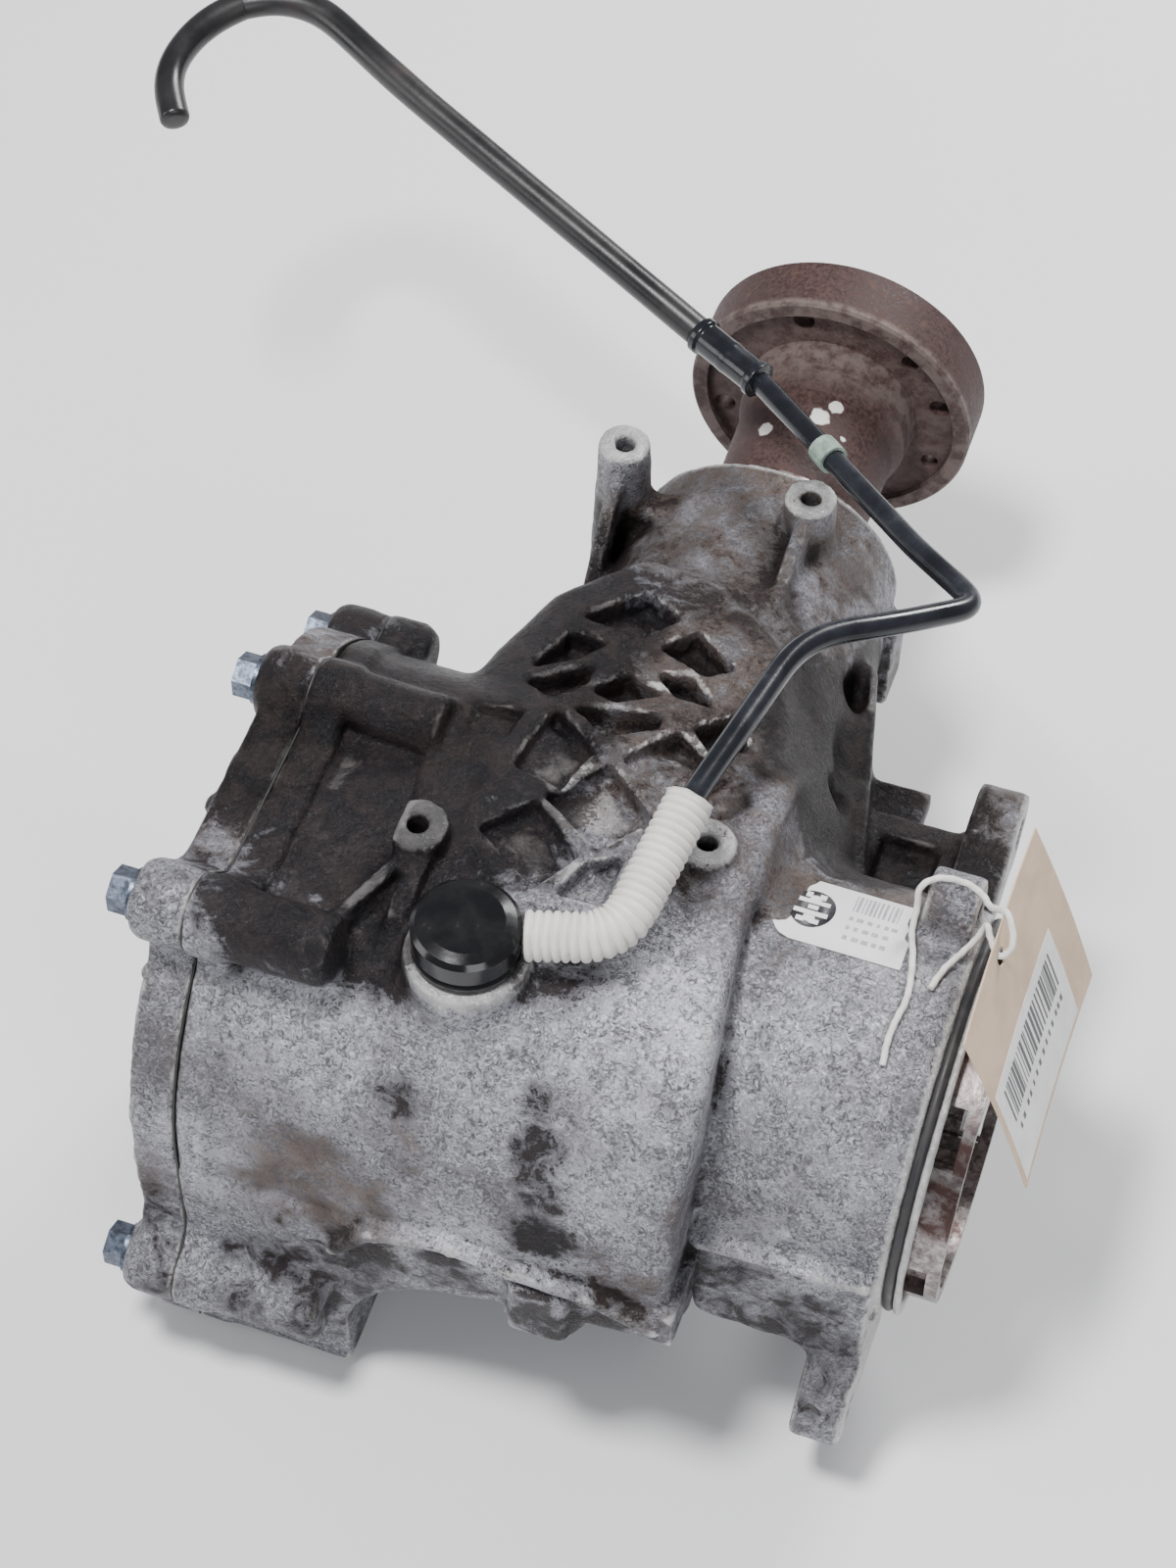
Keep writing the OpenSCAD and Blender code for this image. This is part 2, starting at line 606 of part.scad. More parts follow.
module tube(path, radii, sides = 12) {
    frames = carry(path, 0, abs(unit(path[1] - path[0])[2]) > 0.8 ? [1, 0, 0] : [0, 0, 1]);
    rings = [
        for (i = [0 : len(path) - 1])
            for (k = [0 : sides - 1])
                let (a = 360 * k / sides)
                path[i] + radii[i] * (frames[i][1] * cos(a) + cross(frames[i][0], frames[i][1]) * sin(a))
    ];
    n = len(path);
    polyhedron(
        points = rings,
        faces = concat(
            [for (j = [0 : n - 2]) for (k = [0 : sides - 1]) for (half = [0, 1])
                half == 0
                    ? [j * sides + k, (j + 1) * sides + k, j * sides + (k + 1) % sides]
                    : [j * sides + (k + 1) % sides, (j + 1) * sides + k, (j + 1) * sides + (k + 1) % sides]],
            [[for (k = [0 : sides - 1]) k]],
            [[for (k = [sides - 1 : -1 : 0]) (n - 1) * sides + k]]
        ),
        convexity = 6
    );
}
function same(r, path) = [for (q = path) r];

sheath_elbow = [20, -34, 99];
sheath_end = [27, 14, 111];
cap_middle = [cap_x, cap_y, cap_seat_z + 8];
cap_side = unit(sheath_elbow - cap_middle);
nozzle_start = cap_middle + cap_side * 17.3;
nozzle_tip = cap_middle + cap_side * 24.5;
sheath_start = cap_middle + cap_side * 17.7;
hose_points = [sheath_end, [40, 92, 104], [64, 110, 99], [88, 136, 88], [60, 158, 82], [-14, 226, 66]];
sleeve_start = [-14, 226, 66];
sleeve_end = [-41, 241, 66];
pipe_points = [sleeve_end, [-175, 300, 90], [-228, 330, 96], [-256, 308, 92], [-262, 280, 86], [-250, 262, 82]];

module breather_nipple() color(bright) translate([cap_x, cap_y, 0]) {
    translate([0, 0, cap_seat_z - 14]) cylinder(h = 14, r = 5);
    translate([0, 0, cap_seat_z - eps]) cylinder(h = 7, r = 4.6);
    translate([0, 0, cap_seat_z + 6]) cylinder(h = 1.4, r = 5.4);
}

module breather_cap() color(black) translate([cap_x, cap_y, cap_seat_z]) rotate_extrude($fn = 96) polygon([
    [6, 0.5], [16.5, 0.5], [17, 1], [17, 3], [16, 3.6], [16, 5], [17, 5.6], [17, 13], [15.5, 14.6],
    [12, 15.6], [0, 16], [0, 8.4], [6, 8.4]
]);

module cap_nozzle() color(black) tube([nozzle_start, nozzle_tip], [3, 3]);

module hose_sheath() color("white") {
    ribs = 30;
    line = along(rounded([sheath_start, sheath_elbow, sheath_end], [9], 8), ribs);
    difference() {
        tube(line, [for (i = [0 : ribs]) i % 2 == 0 ? sheath_r : sheath_r - 1], 12);
        tube(stretch(line, 1), same(hose_r + 0.8, line), 12);
    }
}

// Points evenly spaced along a path, n steps long
function lengths(path) = [for (i = 0, d = 0; i < len(path); i = i + 1,
    d = d + (i < len(path) ? norm(path[i] - path[i - 1]) : 0)) d];
function at_length(path, ds, d, i = 0) =
    i >= len(path) - 2 || ds[i + 1] >= d
        ? path[i] + (path[i + 1] - path[i]) * (d - ds[i]) / (ds[i + 1] - ds[i])
        : at_length(path, ds, d, i + 1);
function along(path, n) =
    let (ds = lengths(path))
    [for (k = [0 : n]) at_length(path, ds, ds[len(ds) - 1] * k / n)];
function stretch(path, by) = [
    for (i = [0 : len(path) - 1])
        i == 0 ? path[0] - unit(path[1] - path[0]) * by
            : i == len(path) - 1 ? path[i] + unit(path[i] - path[i - 1]) * by : path[i]
];

module breather_hose() color(black) {
    line = rounded(concat([nozzle_tip, sheath_elbow], hose_points), [9, 6, 16, 12, 8, 6], 5);
    tube(line, same(hose_r, line), 12);
}

module hose_clip() color("darkseagreen") {
    a = hose_points[4];
    b = sleeve_start;
    d = unit(b - a);
    m = a + (b - a) * 0.55;
    difference() {
        tube([m - d * 4, m + d * 4], [5.4, 5.4], 16);
        tube([m - d * 5, m + d * 5], [4.25, 4.25], 16);
    }
}

module joining_sleeve() color(black) {
    d = unit(sleeve_end - sleeve_start);
    tube(
        [sleeve_start, sleeve_start + d * 2, sleeve_start + d * 2.2, sleeve_end - d * 2.2,
         sleeve_end - d * 2, sleeve_end],
        [6.6, 6.6, 5.9, 5.9, 6.8, 6.8], 16
    );
}

module hook_pipe() color(black) {
    line = rounded(pipe_points, [20, 24, 16, 12], 6);
    tube(line, same(pipe_r, line), 12);
}

// ---------- labels and the tied tag ----------

module housing_label() color("white") rotate([0, 90, 0]) rotate([0, 0, 148]) rotate_extrude(angle = 28, $fn = 128)
    translate([small_r, 59]) square([0.3, 41]);

module tag_frame() translate([126.5, -30, 90]) rotate([0, -22.3, 0]) translate([0, 0, -75]) children();
module tag_card() color("tan") tag_frame() difference() {
    cube([0.8, 84, 75]);
    translate([-1, 38, 69]) rotate([0, 90, 0]) cylinder(h = 3, r = 3.6);
}
module tag_sticker() color("white") tag_frame() translate([0.8, 2, 2]) cube([0.3, 66, 43]);
string_points = [
    [111, 0, 68.8], [113, 8, 68.8], [116.5, 15, 69.4], [119.9, 20, 72.5], [122, 22, 78], [124.6, 14.5, 83.2],
    [129, 8, 84.6], [132, 11, 88.5], [128, 18, 93], [122, 24, 85.5], [118, 31, 80.4], [112, 34, 79.8],
    [104, 33, 80.2], [99, 28.5, 79.1], [99.3, 25, 72], [99.8, 19, 68.2], [102.5, 10, 68.6], [104.5, 0, 68.8],
    [105, -7, 68.5], [104, -14, 67.5], [103.5, -21, 65.6], [104.2, -28, 63]
];
module tag_string() color("white") tube(string_points, same(1.1, string_points), 8);

main_housing();
side_cover();
cover_gasket();
cover_bolts();
dowel_pins();
left_shaft_seal();
input_seal();
spigot_o_ring();
fill_plug();
drain_plug();
plug_washers();
left_bearing_cup();
right_bearing_cup();
head_bearing_cup();
tail_bearing_cup();
pinion_oil_seal();
pinion_shim();
breather_nipple();
housing_label();
tag_card();
tag_sticker();
tag_string();
input_shaft();
input_hub();
hub_snap_ring();
crown_wheel();
crown_wheel_bolts();
left_bearing_cone();
right_bearing_cone();
left_bearing_rollers();
left_bearing_cage();
right_bearing_rollers();
right_bearing_cage();
pinion_shaft();
head_bearing_cone();
tail_bearing_cone();
collapsible_spacer();
head_bearing_rollers();
head_bearing_cage();
tail_bearing_rollers();
tail_bearing_cage();
output_flange();
dust_deflector();
flange_nut();
breather_cap();
cap_nozzle();
hose_sheath();
breather_hose();
hose_clip();
joining_sleeve();
hook_pipe();
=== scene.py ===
import math

import bmesh
import bpy
import numpy as np
from mathutils import Matrix, Vector


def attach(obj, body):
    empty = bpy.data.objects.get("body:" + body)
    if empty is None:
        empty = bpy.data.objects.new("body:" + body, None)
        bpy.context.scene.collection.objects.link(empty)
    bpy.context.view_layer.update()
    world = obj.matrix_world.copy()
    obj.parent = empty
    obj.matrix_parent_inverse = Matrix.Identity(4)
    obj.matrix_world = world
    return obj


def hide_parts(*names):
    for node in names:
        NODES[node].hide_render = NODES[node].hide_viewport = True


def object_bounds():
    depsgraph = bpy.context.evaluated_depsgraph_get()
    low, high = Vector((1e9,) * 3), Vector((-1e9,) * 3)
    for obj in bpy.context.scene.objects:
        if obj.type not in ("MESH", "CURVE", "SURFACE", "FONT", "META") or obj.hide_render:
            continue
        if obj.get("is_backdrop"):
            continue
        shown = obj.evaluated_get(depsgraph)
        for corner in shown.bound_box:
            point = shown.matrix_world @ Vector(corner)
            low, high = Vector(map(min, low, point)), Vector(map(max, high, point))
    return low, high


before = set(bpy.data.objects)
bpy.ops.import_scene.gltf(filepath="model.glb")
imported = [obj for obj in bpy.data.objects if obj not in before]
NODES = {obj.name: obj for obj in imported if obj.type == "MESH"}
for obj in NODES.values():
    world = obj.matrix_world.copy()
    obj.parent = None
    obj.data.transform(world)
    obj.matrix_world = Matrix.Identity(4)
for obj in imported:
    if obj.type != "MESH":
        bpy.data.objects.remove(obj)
CAD_LO, CAD_HI = (list(v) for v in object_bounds())
MM = 0.001

# ---------------------------------------------------------------- camera, light and floor

CAM_RIGHT = (0.9457446, 0.32446798, 0.01696112)
CAM_DOWN = (0.27158293, -0.76078507, -0.58944786)
CAM_AHEAD = (-0.17835319, 0.56207349, -0.80762834)
CAM_PLACE = (0.186413, -0.592223, 0.974755)

camera = bpy.data.objects.new("camera", bpy.data.cameras.new("camera"))
bpy.context.scene.collection.objects.link(camera)
camera.data.sensor_width = 36
camera.data.lens = 80.36
camera.data.clip_start, camera.data.clip_end = 0.05, 20
camera.matrix_world = Matrix([
    (CAM_RIGHT[i], -CAM_DOWN[i], -CAM_AHEAD[i], CAM_PLACE[i]) for i in range(3)
] + [(0, 0, 0, 1)])
bpy.context.scene.camera = camera


def area_light(name, place, target, size, power, colour=(1, 1, 1)):
    lamp = bpy.data.lights.new(name, "AREA")
    lamp.shape, lamp.size, lamp.energy, lamp.color = "DISK", size, power, colour
    o = bpy.data.objects.new(name, lamp)
    bpy.context.scene.collection.objects.link(o)
    o.location = place
    o.rotation_euler = (Vector(target) - Vector(place)).to_track_quat("-Z", "Y").to_euler()
    return o


area_light("key", (-0.35, -0.35, 1.7), (0, 0.05, 0), 0.35, 40)
area_light("fill", (0.9, -1.3, 0.9), (0, 0, 0), 0.9, 9, (0.96, 0.98, 1))
area_light("back", (0.4, 1.5, 1.0), (0, 0.1, 0), 0.5, 30)
area_light("side", (-1.4, -0.6, 0.6), (0, 0, 0), 0.8, 6)
world = bpy.data.worlds.new("world")
world.use_nodes = True
world.node_tree.nodes["Background"].inputs[0].default_value = (0.94, 0.95, 1, 1)
world.node_tree.nodes["Background"].inputs[1].default_value = 0.30
bpy.context.scene.world = world


def mesh_object(name, verts, faces, smooth=True):
    me = bpy.data.meshes.new(name)
    me.from_pydata([tuple(v) for v in verts], [], [tuple(int(i) for i in f) for f in faces])
    me.validate()
    me.polygons.foreach_set("use_smooth", [smooth] * len(me.polygons))
    o = bpy.data.objects.new(name, me)
    bpy.context.scene.collection.objects.link(o)
    return o


floor_z = CAD_LO[2] - 0.0005
floor = mesh_object(
    "floor", [(-6, -6, floor_z), (6, -6, floor_z), (6, 6, floor_z), (-6, 6, floor_z)],
    [(0, 1, 2, 3)]
)
floor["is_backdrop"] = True

# ---------------------------------------------------------------- materials


class Finish:
    """A node material: every method returns a socket of its tree."""

    def __init__(self, name):
        self.mat = bpy.data.materials.new(name)
        self.mat.use_nodes = True
        self.tree = self.mat.node_tree
        self.out = self.tree.nodes["Principled BSDF"]
        self.place = self.node("ShaderNodeTexCoord").outputs["Object"]

    def node(self, kind, **values):
        n = self.tree.nodes.new(kind)
        for k, v in values.items():
            setattr(n, k, v)
        return n

    def feed(self, socket, value):
        if isinstance(value, bpy.types.NodeSocket):
            self.tree.links.new(value, socket)
        elif hasattr(value, "__len__") and len(value) == 3 and socket.type == "RGBA":
            socket.default_value = (*value, 1)
        else:
            socket.default_value = value

    def noise(self, size_mm, detail=4, rough=0.6, distort=0.0):
        n = self.node("ShaderNodeTexNoise")
        self.feed(n.inputs["Vector"], self.place)
        self.feed(n.inputs["Scale"], 1000 / size_mm)
        self.feed(n.inputs["Detail"], detail)
        self.feed(n.inputs["Roughness"], rough)
        self.feed(n.inputs["Distortion"], distort)
        return n.outputs["Fac"]

    def math(self, op, a, b=0.0, clamp=False):
        n = self.node("ShaderNodeMath", operation=op, use_clamp=clamp)
        self.feed(n.inputs[0], a)
        self.feed(n.inputs[1], b)
        return n.outputs[0]

    def span(self, value, a, b, c=0.0, d=1.0):
        n = self.node("ShaderNodeMapRange", interpolation_type="SMOOTHSTEP")
        for i, v in enumerate((value, a, b, c, d)):
            self.feed(n.inputs[i], v)
        return n.outputs[0]

    def mix(self, share, a, b):
        n = self.node("ShaderNodeMix", data_type="RGBA")
        self.feed(n.inputs["Factor"], share)
        self.feed(n.inputs[6], a)
        self.feed(n.inputs[7], b)
        return n.outputs[2]

    def attr(self, name):
        return self.node("ShaderNodeAttribute", attribute_name=name).outputs["Fac"]

    def axis(self, i):
        n = self.node("ShaderNodeSeparateXYZ")
        self.feed(n.inputs[0], self.place)
        return n.outputs[i]

    def wobbled(self, size_mm, by_mm):
        n = self.node("ShaderNodeTexNoise")
        self.feed(n.inputs["Vector"], self.place)
        self.feed(n.inputs["Scale"], 1000 / size_mm)
        m = self.node("ShaderNodeVectorMath", operation="MULTIPLY_ADD")
        self.feed(m.inputs[0], n.outputs["Color"])
        m.inputs[1].default_value = (by_mm * MM,) * 3
        self.feed(m.inputs[2], self.place)
        return m.outputs[0]

    def spot(self, centre_mm, radius_mm, soft=0.5, at=None):
        """1 inside a ball round the centre, 0 outside, with a soft edge."""
        n = self.node("ShaderNodeVectorMath", operation="DISTANCE")
        self.feed(n.inputs[0], at or self.place)
        n.inputs[1].default_value = tuple(c * MM for c in centre_mm)
        return self.span(n.outputs["Value"], radius_mm * MM, radius_mm * (1 - soft) * MM)

    def bump(self, height, depth_mm, strength=1.0):
        n = self.node("ShaderNodeBump")
        n.inputs["Strength"].default_value = strength
        n.inputs["Distance"].default_value = depth_mm * MM
        self.feed(n.inputs["Height"], height)
        last = self.out.inputs["Normal"]
        if last.is_linked:
            self.feed(n.inputs["Normal"], last.links[0].from_socket)
        self.feed(last, n.outputs[0])

    def end(self, **values):
        for k, v in values.items():
            self.feed(self.out.inputs[k.replace("_", " ")], v)
        return self.mat


def cast_finish():
    f = Finish("cast_alloy")
    grain = f.noise(2.0, 4, 0.7, 1.6)
    fine = f.noise(0.9, 2, 0.6)
    cloud = f.noise(30, 5, 0.62, 0.4)
    patch = f.noise(9, 4, 0.65, 0.8)
    worn, hollow = f.attr("worn"), f.attr("hollow")
    oil_and_shade, tan, rubbed_and_lit = f.attr("oil_and_shade"), f.attr("tan"), f.attr("rubbed_and_lit")
    # Rough cast metal: pale crystals on mid grey, in clouds, with painted highlight glints on the grain peaks
    metal = f.mix(f.span(grain, 0.34, 0.64), (0.085, 0.083, 0.093), (0.34, 0.34, 0.37))
    metal = f.mix(f.span(cloud, 0.42, 0.66, 0, 0.6), metal, (0.10, 0.096, 0.10))
    # painted highlight: pale specks in patches stand in for specular sparkle
    painted_glint = f.math("MULTIPLY", f.span(grain, 0.52, 0.70), f.span(patch, 0.34, 0.60, 0.25, 1.0))
    metal = f.mix(f.math("MULTIPLY", painted_glint, 0.9), metal, (0.56, 0.56, 0.60))
    # rubbed bare metal, partly painted highlight on the barrel top and the parting-line ridge
    rubbed_and_highlit = f.math("MULTIPLY", rubbed_and_lit, f.span(f.math("ADD", patch, grain), 0.8, 1.15, 0.05, 0.75))
    metal = f.mix(rubbed_and_highlit, metal, (0.66, 0.66, 0.71))
    # Brown road dirt
    earth = f.mix(f.span(patch, 0.3, 0.7), (0.036, 0.026, 0.021), (0.135, 0.10, 0.082))
    tan_share = f.math("ADD", f.math("MULTIPLY", cloud, 0.9), f.math("MULTIPLY", grain, 0.6))
    tan_share = f.math("ADD", tan_share, f.math("MULTIPLY", patch, 0.7))
    tan_share = f.math(
        "MULTIPLY", f.span(f.math("ADD", tan_share, f.math("MULTIPLY", tan, 0.42)), 1.18, 1.62),
        0.88
    )
    body = f.mix(tan_share, metal, earth)
    # Oil and grime where it ran, and painted shade in the hollows from an occlusion mask, all mixed towards near black
    grime_shade_colour = f.mix(f.span(patch, 0.35, 0.7), (0.003, 0.0025, 0.0035), (0.018, 0.0125, 0.0125))
    grime_and_shade = f.math("ADD", f.math("MULTIPLY", oil_and_shade, 1.1), f.math("MULTIPLY", hollow, 0.7))
    grime_and_shade = f.math("ADD", grime_and_shade, f.math("MULTIPLY", f.math("SUBTRACT", cloud, 0.5), 1.0))
    grime_and_shade = f.math("ADD", grime_and_shade, f.math("MULTIPLY", f.math("SUBTRACT", patch, 0.5), 1.7))
    grime_and_shade = f.math("ADD", grime_and_shade, f.math("MULTIPLY", f.math("SUBTRACT", grain, 0.5), 1.3))
    grime_and_shade = f.span(grime_and_shade, 0.26, 0.66)
    body = f.mix(f.math("MULTIPLY", grime_and_shade, 0.97), body, grime_shade_colour)
    shine = f.span(
        f.math("ADD", worn, f.math("MULTIPLY", f.math("SUBTRACT", patch, 0.5), 1.1)), 0.5, 1.0
    )
    body = f.mix(
        f.math("MULTIPLY", shine, f.span(grime_and_shade, 1.3, 0.2, 0.0, 0.85)), body, (0.56, 0.54, 0.53)
    )
    flat = f.attr("cut")
    machined = f.mix(f.span(patch, 0.3, 0.7), (0.42, 0.41, 0.41), (0.62, 0.61, 0.60))
    body = f.mix(f.math("MULTIPLY", flat, f.span(grime_and_shade, 1.0, 0.3, 0.15, 0.9)), body, machined)
    gloss = f.math("SUBTRACT", f.span(grain, 0.3, 0.75, 0.58, 0.38), f.math("MULTIPLY", grime_and_shade, 0.12))
    f.bump(f.math("ADD", grain, f.math("MULTIPLY", fine, 0.3)), 0.9, 0.9)
    f.bump(patch, 1.6, 0.5)
    f.out.inputs["Specular IOR Level"].default_value = 0.16
    return f.end(Base_Color=body, Roughness=gloss, Metallic=f.span(grime_and_shade, 0.2, 0.8, 0.6, 0.0))


def steel_finish(name, light, dark, rust=(0.12, 0.06, 0.035), rusted=0.3, rough=0.38, size=3.0):
    f = Finish(name)
    fine, cloud = f.noise(size, 4, 0.65), f.noise(size * 6, 5, 0.6, 0.5)
    body = f.mix(f.span(fine, 0.3, 0.7), dark, light)
    body = f.mix(
        f.span(
            f.math("ADD", cloud, f.math("MULTIPLY", fine, 0.3)), 0.85 - rusted * 0.5,
            0.95 - rusted * 0.4
        ),
        body, rust
    )
    f.bump(fine, 0.12, 0.6)
    return f.end(
        Base_Color=body, Metallic=0.85,
        Roughness=f.span(cloud, 0.3, 0.7, rough - 0.1, rough + 0.16)
    )


def rust_finish():
    f = Finish("rusty_flange")
    fine, patch, cloud = f.noise(1.6, 3, 0.7), f.noise(6, 4, 0.6), f.noise(24, 4, 0.6, 0.4)
    body = f.mix(f.span(fine, 0.3, 0.7), (0.030, 0.016, 0.015), (0.080, 0.046, 0.042))
    body = f.mix(f.span(cloud, 0.45, 0.75, 0, 0.7), body, (0.060, 0.038, 0.038))
    body = f.mix(f.math("MULTIPLY", f.span(patch, 0.55, 0.72), 0.5), body, (0.11, 0.060, 0.046))
    # A worn, lighter collar where the neck meets the web
    along = f.axis(1)
    collar = f.math("MULTIPLY", f.span(along, 0.262, 0.276), f.span(along, 0.2845, 0.2815))
    body = f.mix(
        f.math("MULTIPLY", collar, f.span(patch, 0.36, 0.6, 0.15, 0.75)), body,
        (0.17, 0.135, 0.125)
    )
    # Dabs of white marking paint
    w = f.wobbled(4, 3.2)
    for centre, radius in (
        ((5, 252, 31), 5.4), ((9, 259, 30), 3.6), ((-13, 243, 27), 4.2), ((-6, 249, 30), 2.4),
        ((14, 247, 26), 2.6)
    ):
        body = f.mix(f.span(f.spot(centre, radius, 0.6, w), 0.25, 0.7), body, (0.72, 0.71, 0.68))
    f.bump(fine, 0.35, 0.7)
    f.bump(patch, 0.5, 0.35)
    f.out.inputs["Specular IOR Level"].default_value = 0.3
    return f.end(Base_Color=body, Roughness=f.span(fine, 0.3, 0.7, 0.5, 0.78), Metallic=0.1)


def smooth_finish(
    name, colour, other, rough=0.3, spread=0.12, size=8.0, bump=0.05, dust=None, dust_from=0.6
):
    f = Finish(name)
    cloud, fine = f.noise(size, 5, 0.6, 0.3), f.noise(1.2, 3, 0.7)
    body = f.mix(f.span(cloud, 0.35, 0.7), colour, other)
    if dust:
        body = f.mix(
            f.span(
                f.math("ADD", cloud, f.math("MULTIPLY", fine, 0.35)), dust_from + 0.12,
                dust_from + 0.34, 0, 0.75
            ),
            body, dust
        )
    f.bump(fine, bump, 0.6)
    return f.end(Base_Color=body, Roughness=f.span(cloud, 0.3, 0.7, rough, rough + spread))


CAST = cast_finish()
RUST = rust_finish()
BOLT = steel_finish(
    "zinc_bolt", (0.17, 0.20, 0.26), (0.05, 0.06, 0.08), (0.07, 0.05, 0.045), 0.22, 0.36, 2.0
)
STEEL = steel_finish(
    "oily_steel", (0.40, 0.37, 0.36), (0.13, 0.10, 0.10), (0.075, 0.045, 0.04), 0.42, 0.28, 2.4
)
GEAR = steel_finish(
    "gear_steel", (0.44, 0.43, 0.43), (0.24, 0.23, 0.23), (0.13, 0.09, 0.06), 0.12, 0.24, 2.0
)
GROUND = steel_finish(
    "ground_steel", (0.66, 0.66, 0.68), (0.50, 0.50, 0.52), (0.3, 0.25, 0.2), 0.03, 0.18, 1.2
)
CAGE = steel_finish(
    "pressed_cage", (0.46, 0.42, 0.34), (0.32, 0.29, 0.24), (0.2, 0.13, 0.07), 0.1, 0.36, 2.5
)
COPPER = steel_finish(
    "copper", (0.56, 0.31, 0.20), (0.36, 0.19, 0.12), (0.10, 0.14, 0.10), 0.22, 0.36, 2.5
)
SEAL = smooth_finish("seal_rubber", (0.018, 0.018, 0.02), (0.035, 0.032, 0.032), 0.42, 0.2, 6)
GASKET = smooth_finish("gasket_line", (0.012, 0.012, 0.012), (0.03, 0.028, 0.026), 0.5, 0.2, 5)
CAP = smooth_finish(
    "cap_plastic", (0.004, 0.004, 0.005), (0.008, 0.008, 0.009), 0.12, 0.12, 9, 0.02,
    (0.07, 0.06, 0.055), dust_from=0.72
)
HOSE = smooth_finish(
    "hose_rubber", (0.006, 0.007, 0.010), (0.016, 0.018, 0.024), 0.16, 0.16, 22, 0.035,
    (0.10, 0.10, 0.11), dust_from=0.66
)
PIPE = smooth_finish(
    "pipe_rubber", (0.010, 0.010, 0.011), (0.020, 0.019, 0.020), 0.24, 0.16, 26, 0.06,
    (0.05, 0.028, 0.025), dust_from=0.66
)
SHEATH = smooth_finish(
    "sheath_plastic", (0.72, 0.70, 0.66), (0.62, 0.60, 0.55), 0.42, 0.15, 14, 0.08,
    (0.20, 0.17, 0.15), dust_from=0.72
)
CLIP = smooth_finish("clip_plastic", (0.16, 0.22, 0.18), (0.30, 0.38, 0.33), 0.45, 0.15, 4)
PAPER = smooth_finish(
    "label_paper", (0.78, 0.78, 0.78), (0.70, 0.69, 0.68), 0.36, 0.12, 12, 0.03,
    (0.40, 0.36, 0.32), dust_from=0.74
)
CARD = smooth_finish(
    "tag_paper", (0.66, 0.50, 0.36), (0.58, 0.43, 0.31), 0.66, 0.15, 14, 0.06, (0.42, 0.30, 0.21),
    dust_from=0.74
)
INK = smooth_finish("print_ink", (0.02, 0.02, 0.024), (0.05, 0.05, 0.055), 0.4, 0.1, 3, 0.02)
FAINT_INK = smooth_finish("faint_ink", (0.30, 0.28, 0.32), (0.42, 0.40, 0.44), 0.4, 0.1, 3, 0.02)
STRING = smooth_finish("string_cotton", (0.80, 0.79, 0.76), (0.66, 0.64, 0.60), 0.75, 0.12, 5, 0.2)
FLOOR = smooth_finish("floor_paper", (0.86, 0.86, 0.87), (0.84, 0.84, 0.85), 0.7, 0.1, 300, 0.0)
floor.data.materials.append(FLOOR)

# ---------------------------------------------------------------- cast shapes as distance fields, in mm


def smin(a, b, k):
    h = np.maximum(k - np.abs(a - b), 0) / k
    return np.minimum(a, b) - h * h * (k * 0.25)


def smax(a, b, k):
    return -smin(-a, -b, k)


def slab(t, a, b):
    return np.abs(t - (a + b) / 2) - (b - a) / 2


def rect(u, v, a, b, c, d):
    p, q = slab(u, a, b), slab(v, c, d)
    return np.hypot(np.maximum(p, 0), np.maximum(q, 0)) + np.minimum(np.maximum(p, q), 0)


def polygon(u, v, points):
    """Signed distance to a closed outline in the plane of u and v."""
    u, v = np.broadcast_arrays(u, v)
    best = np.full(u.shape, 1e9, np.float32)
    sign = np.ones(u.shape, np.float32)
    n = len(points)
    for i in range(n):
        (ax, ay), (bx, by) = points[i], points[i - 1]
        ex, ey, wx, wy = bx - ax, by - ay, u - ax, v - ay
        t = np.clip((wx * ex + wy * ey) / (ex * ex + ey * ey), 0, 1)
        best = np.minimum(best, (wx - ex * t) ** 2 + (wy - ey * t) ** 2)
        c1, c2, c3 = v >= ay, v < by, ex * wy > ey * wx
        flip = (c1 & c2 & c3) | (~c1 & ~c2 & ~c3)
        sign = np.where(flip, -sign, sign)
    return sign * np.sqrt(best)


def bar(u, v, p, q, r):
    """Distance to a thick line from p to q in the plane of u and v."""
    ex, ey = q[0] - p[0], q[1] - p[1]
    t = np.clip(((u - p[0]) * ex + (v - p[1]) * ey) / (ex * ex + ey * ey), 0, 1)
    return np.hypot(u - p[0] - ex * t, v - p[1] - ey * t) - r


def tongue(Y, Z, y, z, r, foot):
    d = math.hypot(y, z)
    c, s = y / d, z / d
    arm = [(0, -r * foot), (d, -r), (d, r), (0, r * foot)]
    arm = [(c * a - s * b, s * a + c * b) for a, b in arm]
    return np.minimum(np.hypot(Y - y, Z - z) - r, polygon(Y, Z, arm))


def lumps(shape, seed, cell):
    """Smooth random field over a grid of this shape, about -1 to 1."""
    rng = np.random.default_rng(seed)
    small = [max(4, int(n / cell) + 3) for n in shape]
    g = rng.uniform(-1, 1, small).astype(np.float32)
    for ax, n in enumerate(shape):
        t = np.arange(n, dtype=np.float32) / cell
        i = t.astype(int)
        w = t - i
        w = w * w * (3 - 2 * w)
        w = w.reshape([-1 if a == ax else 1 for a in range(3)])
        g = np.take(g, i, ax) * (1 - w) + np.take(g, i + 1, ax) * w
    return g


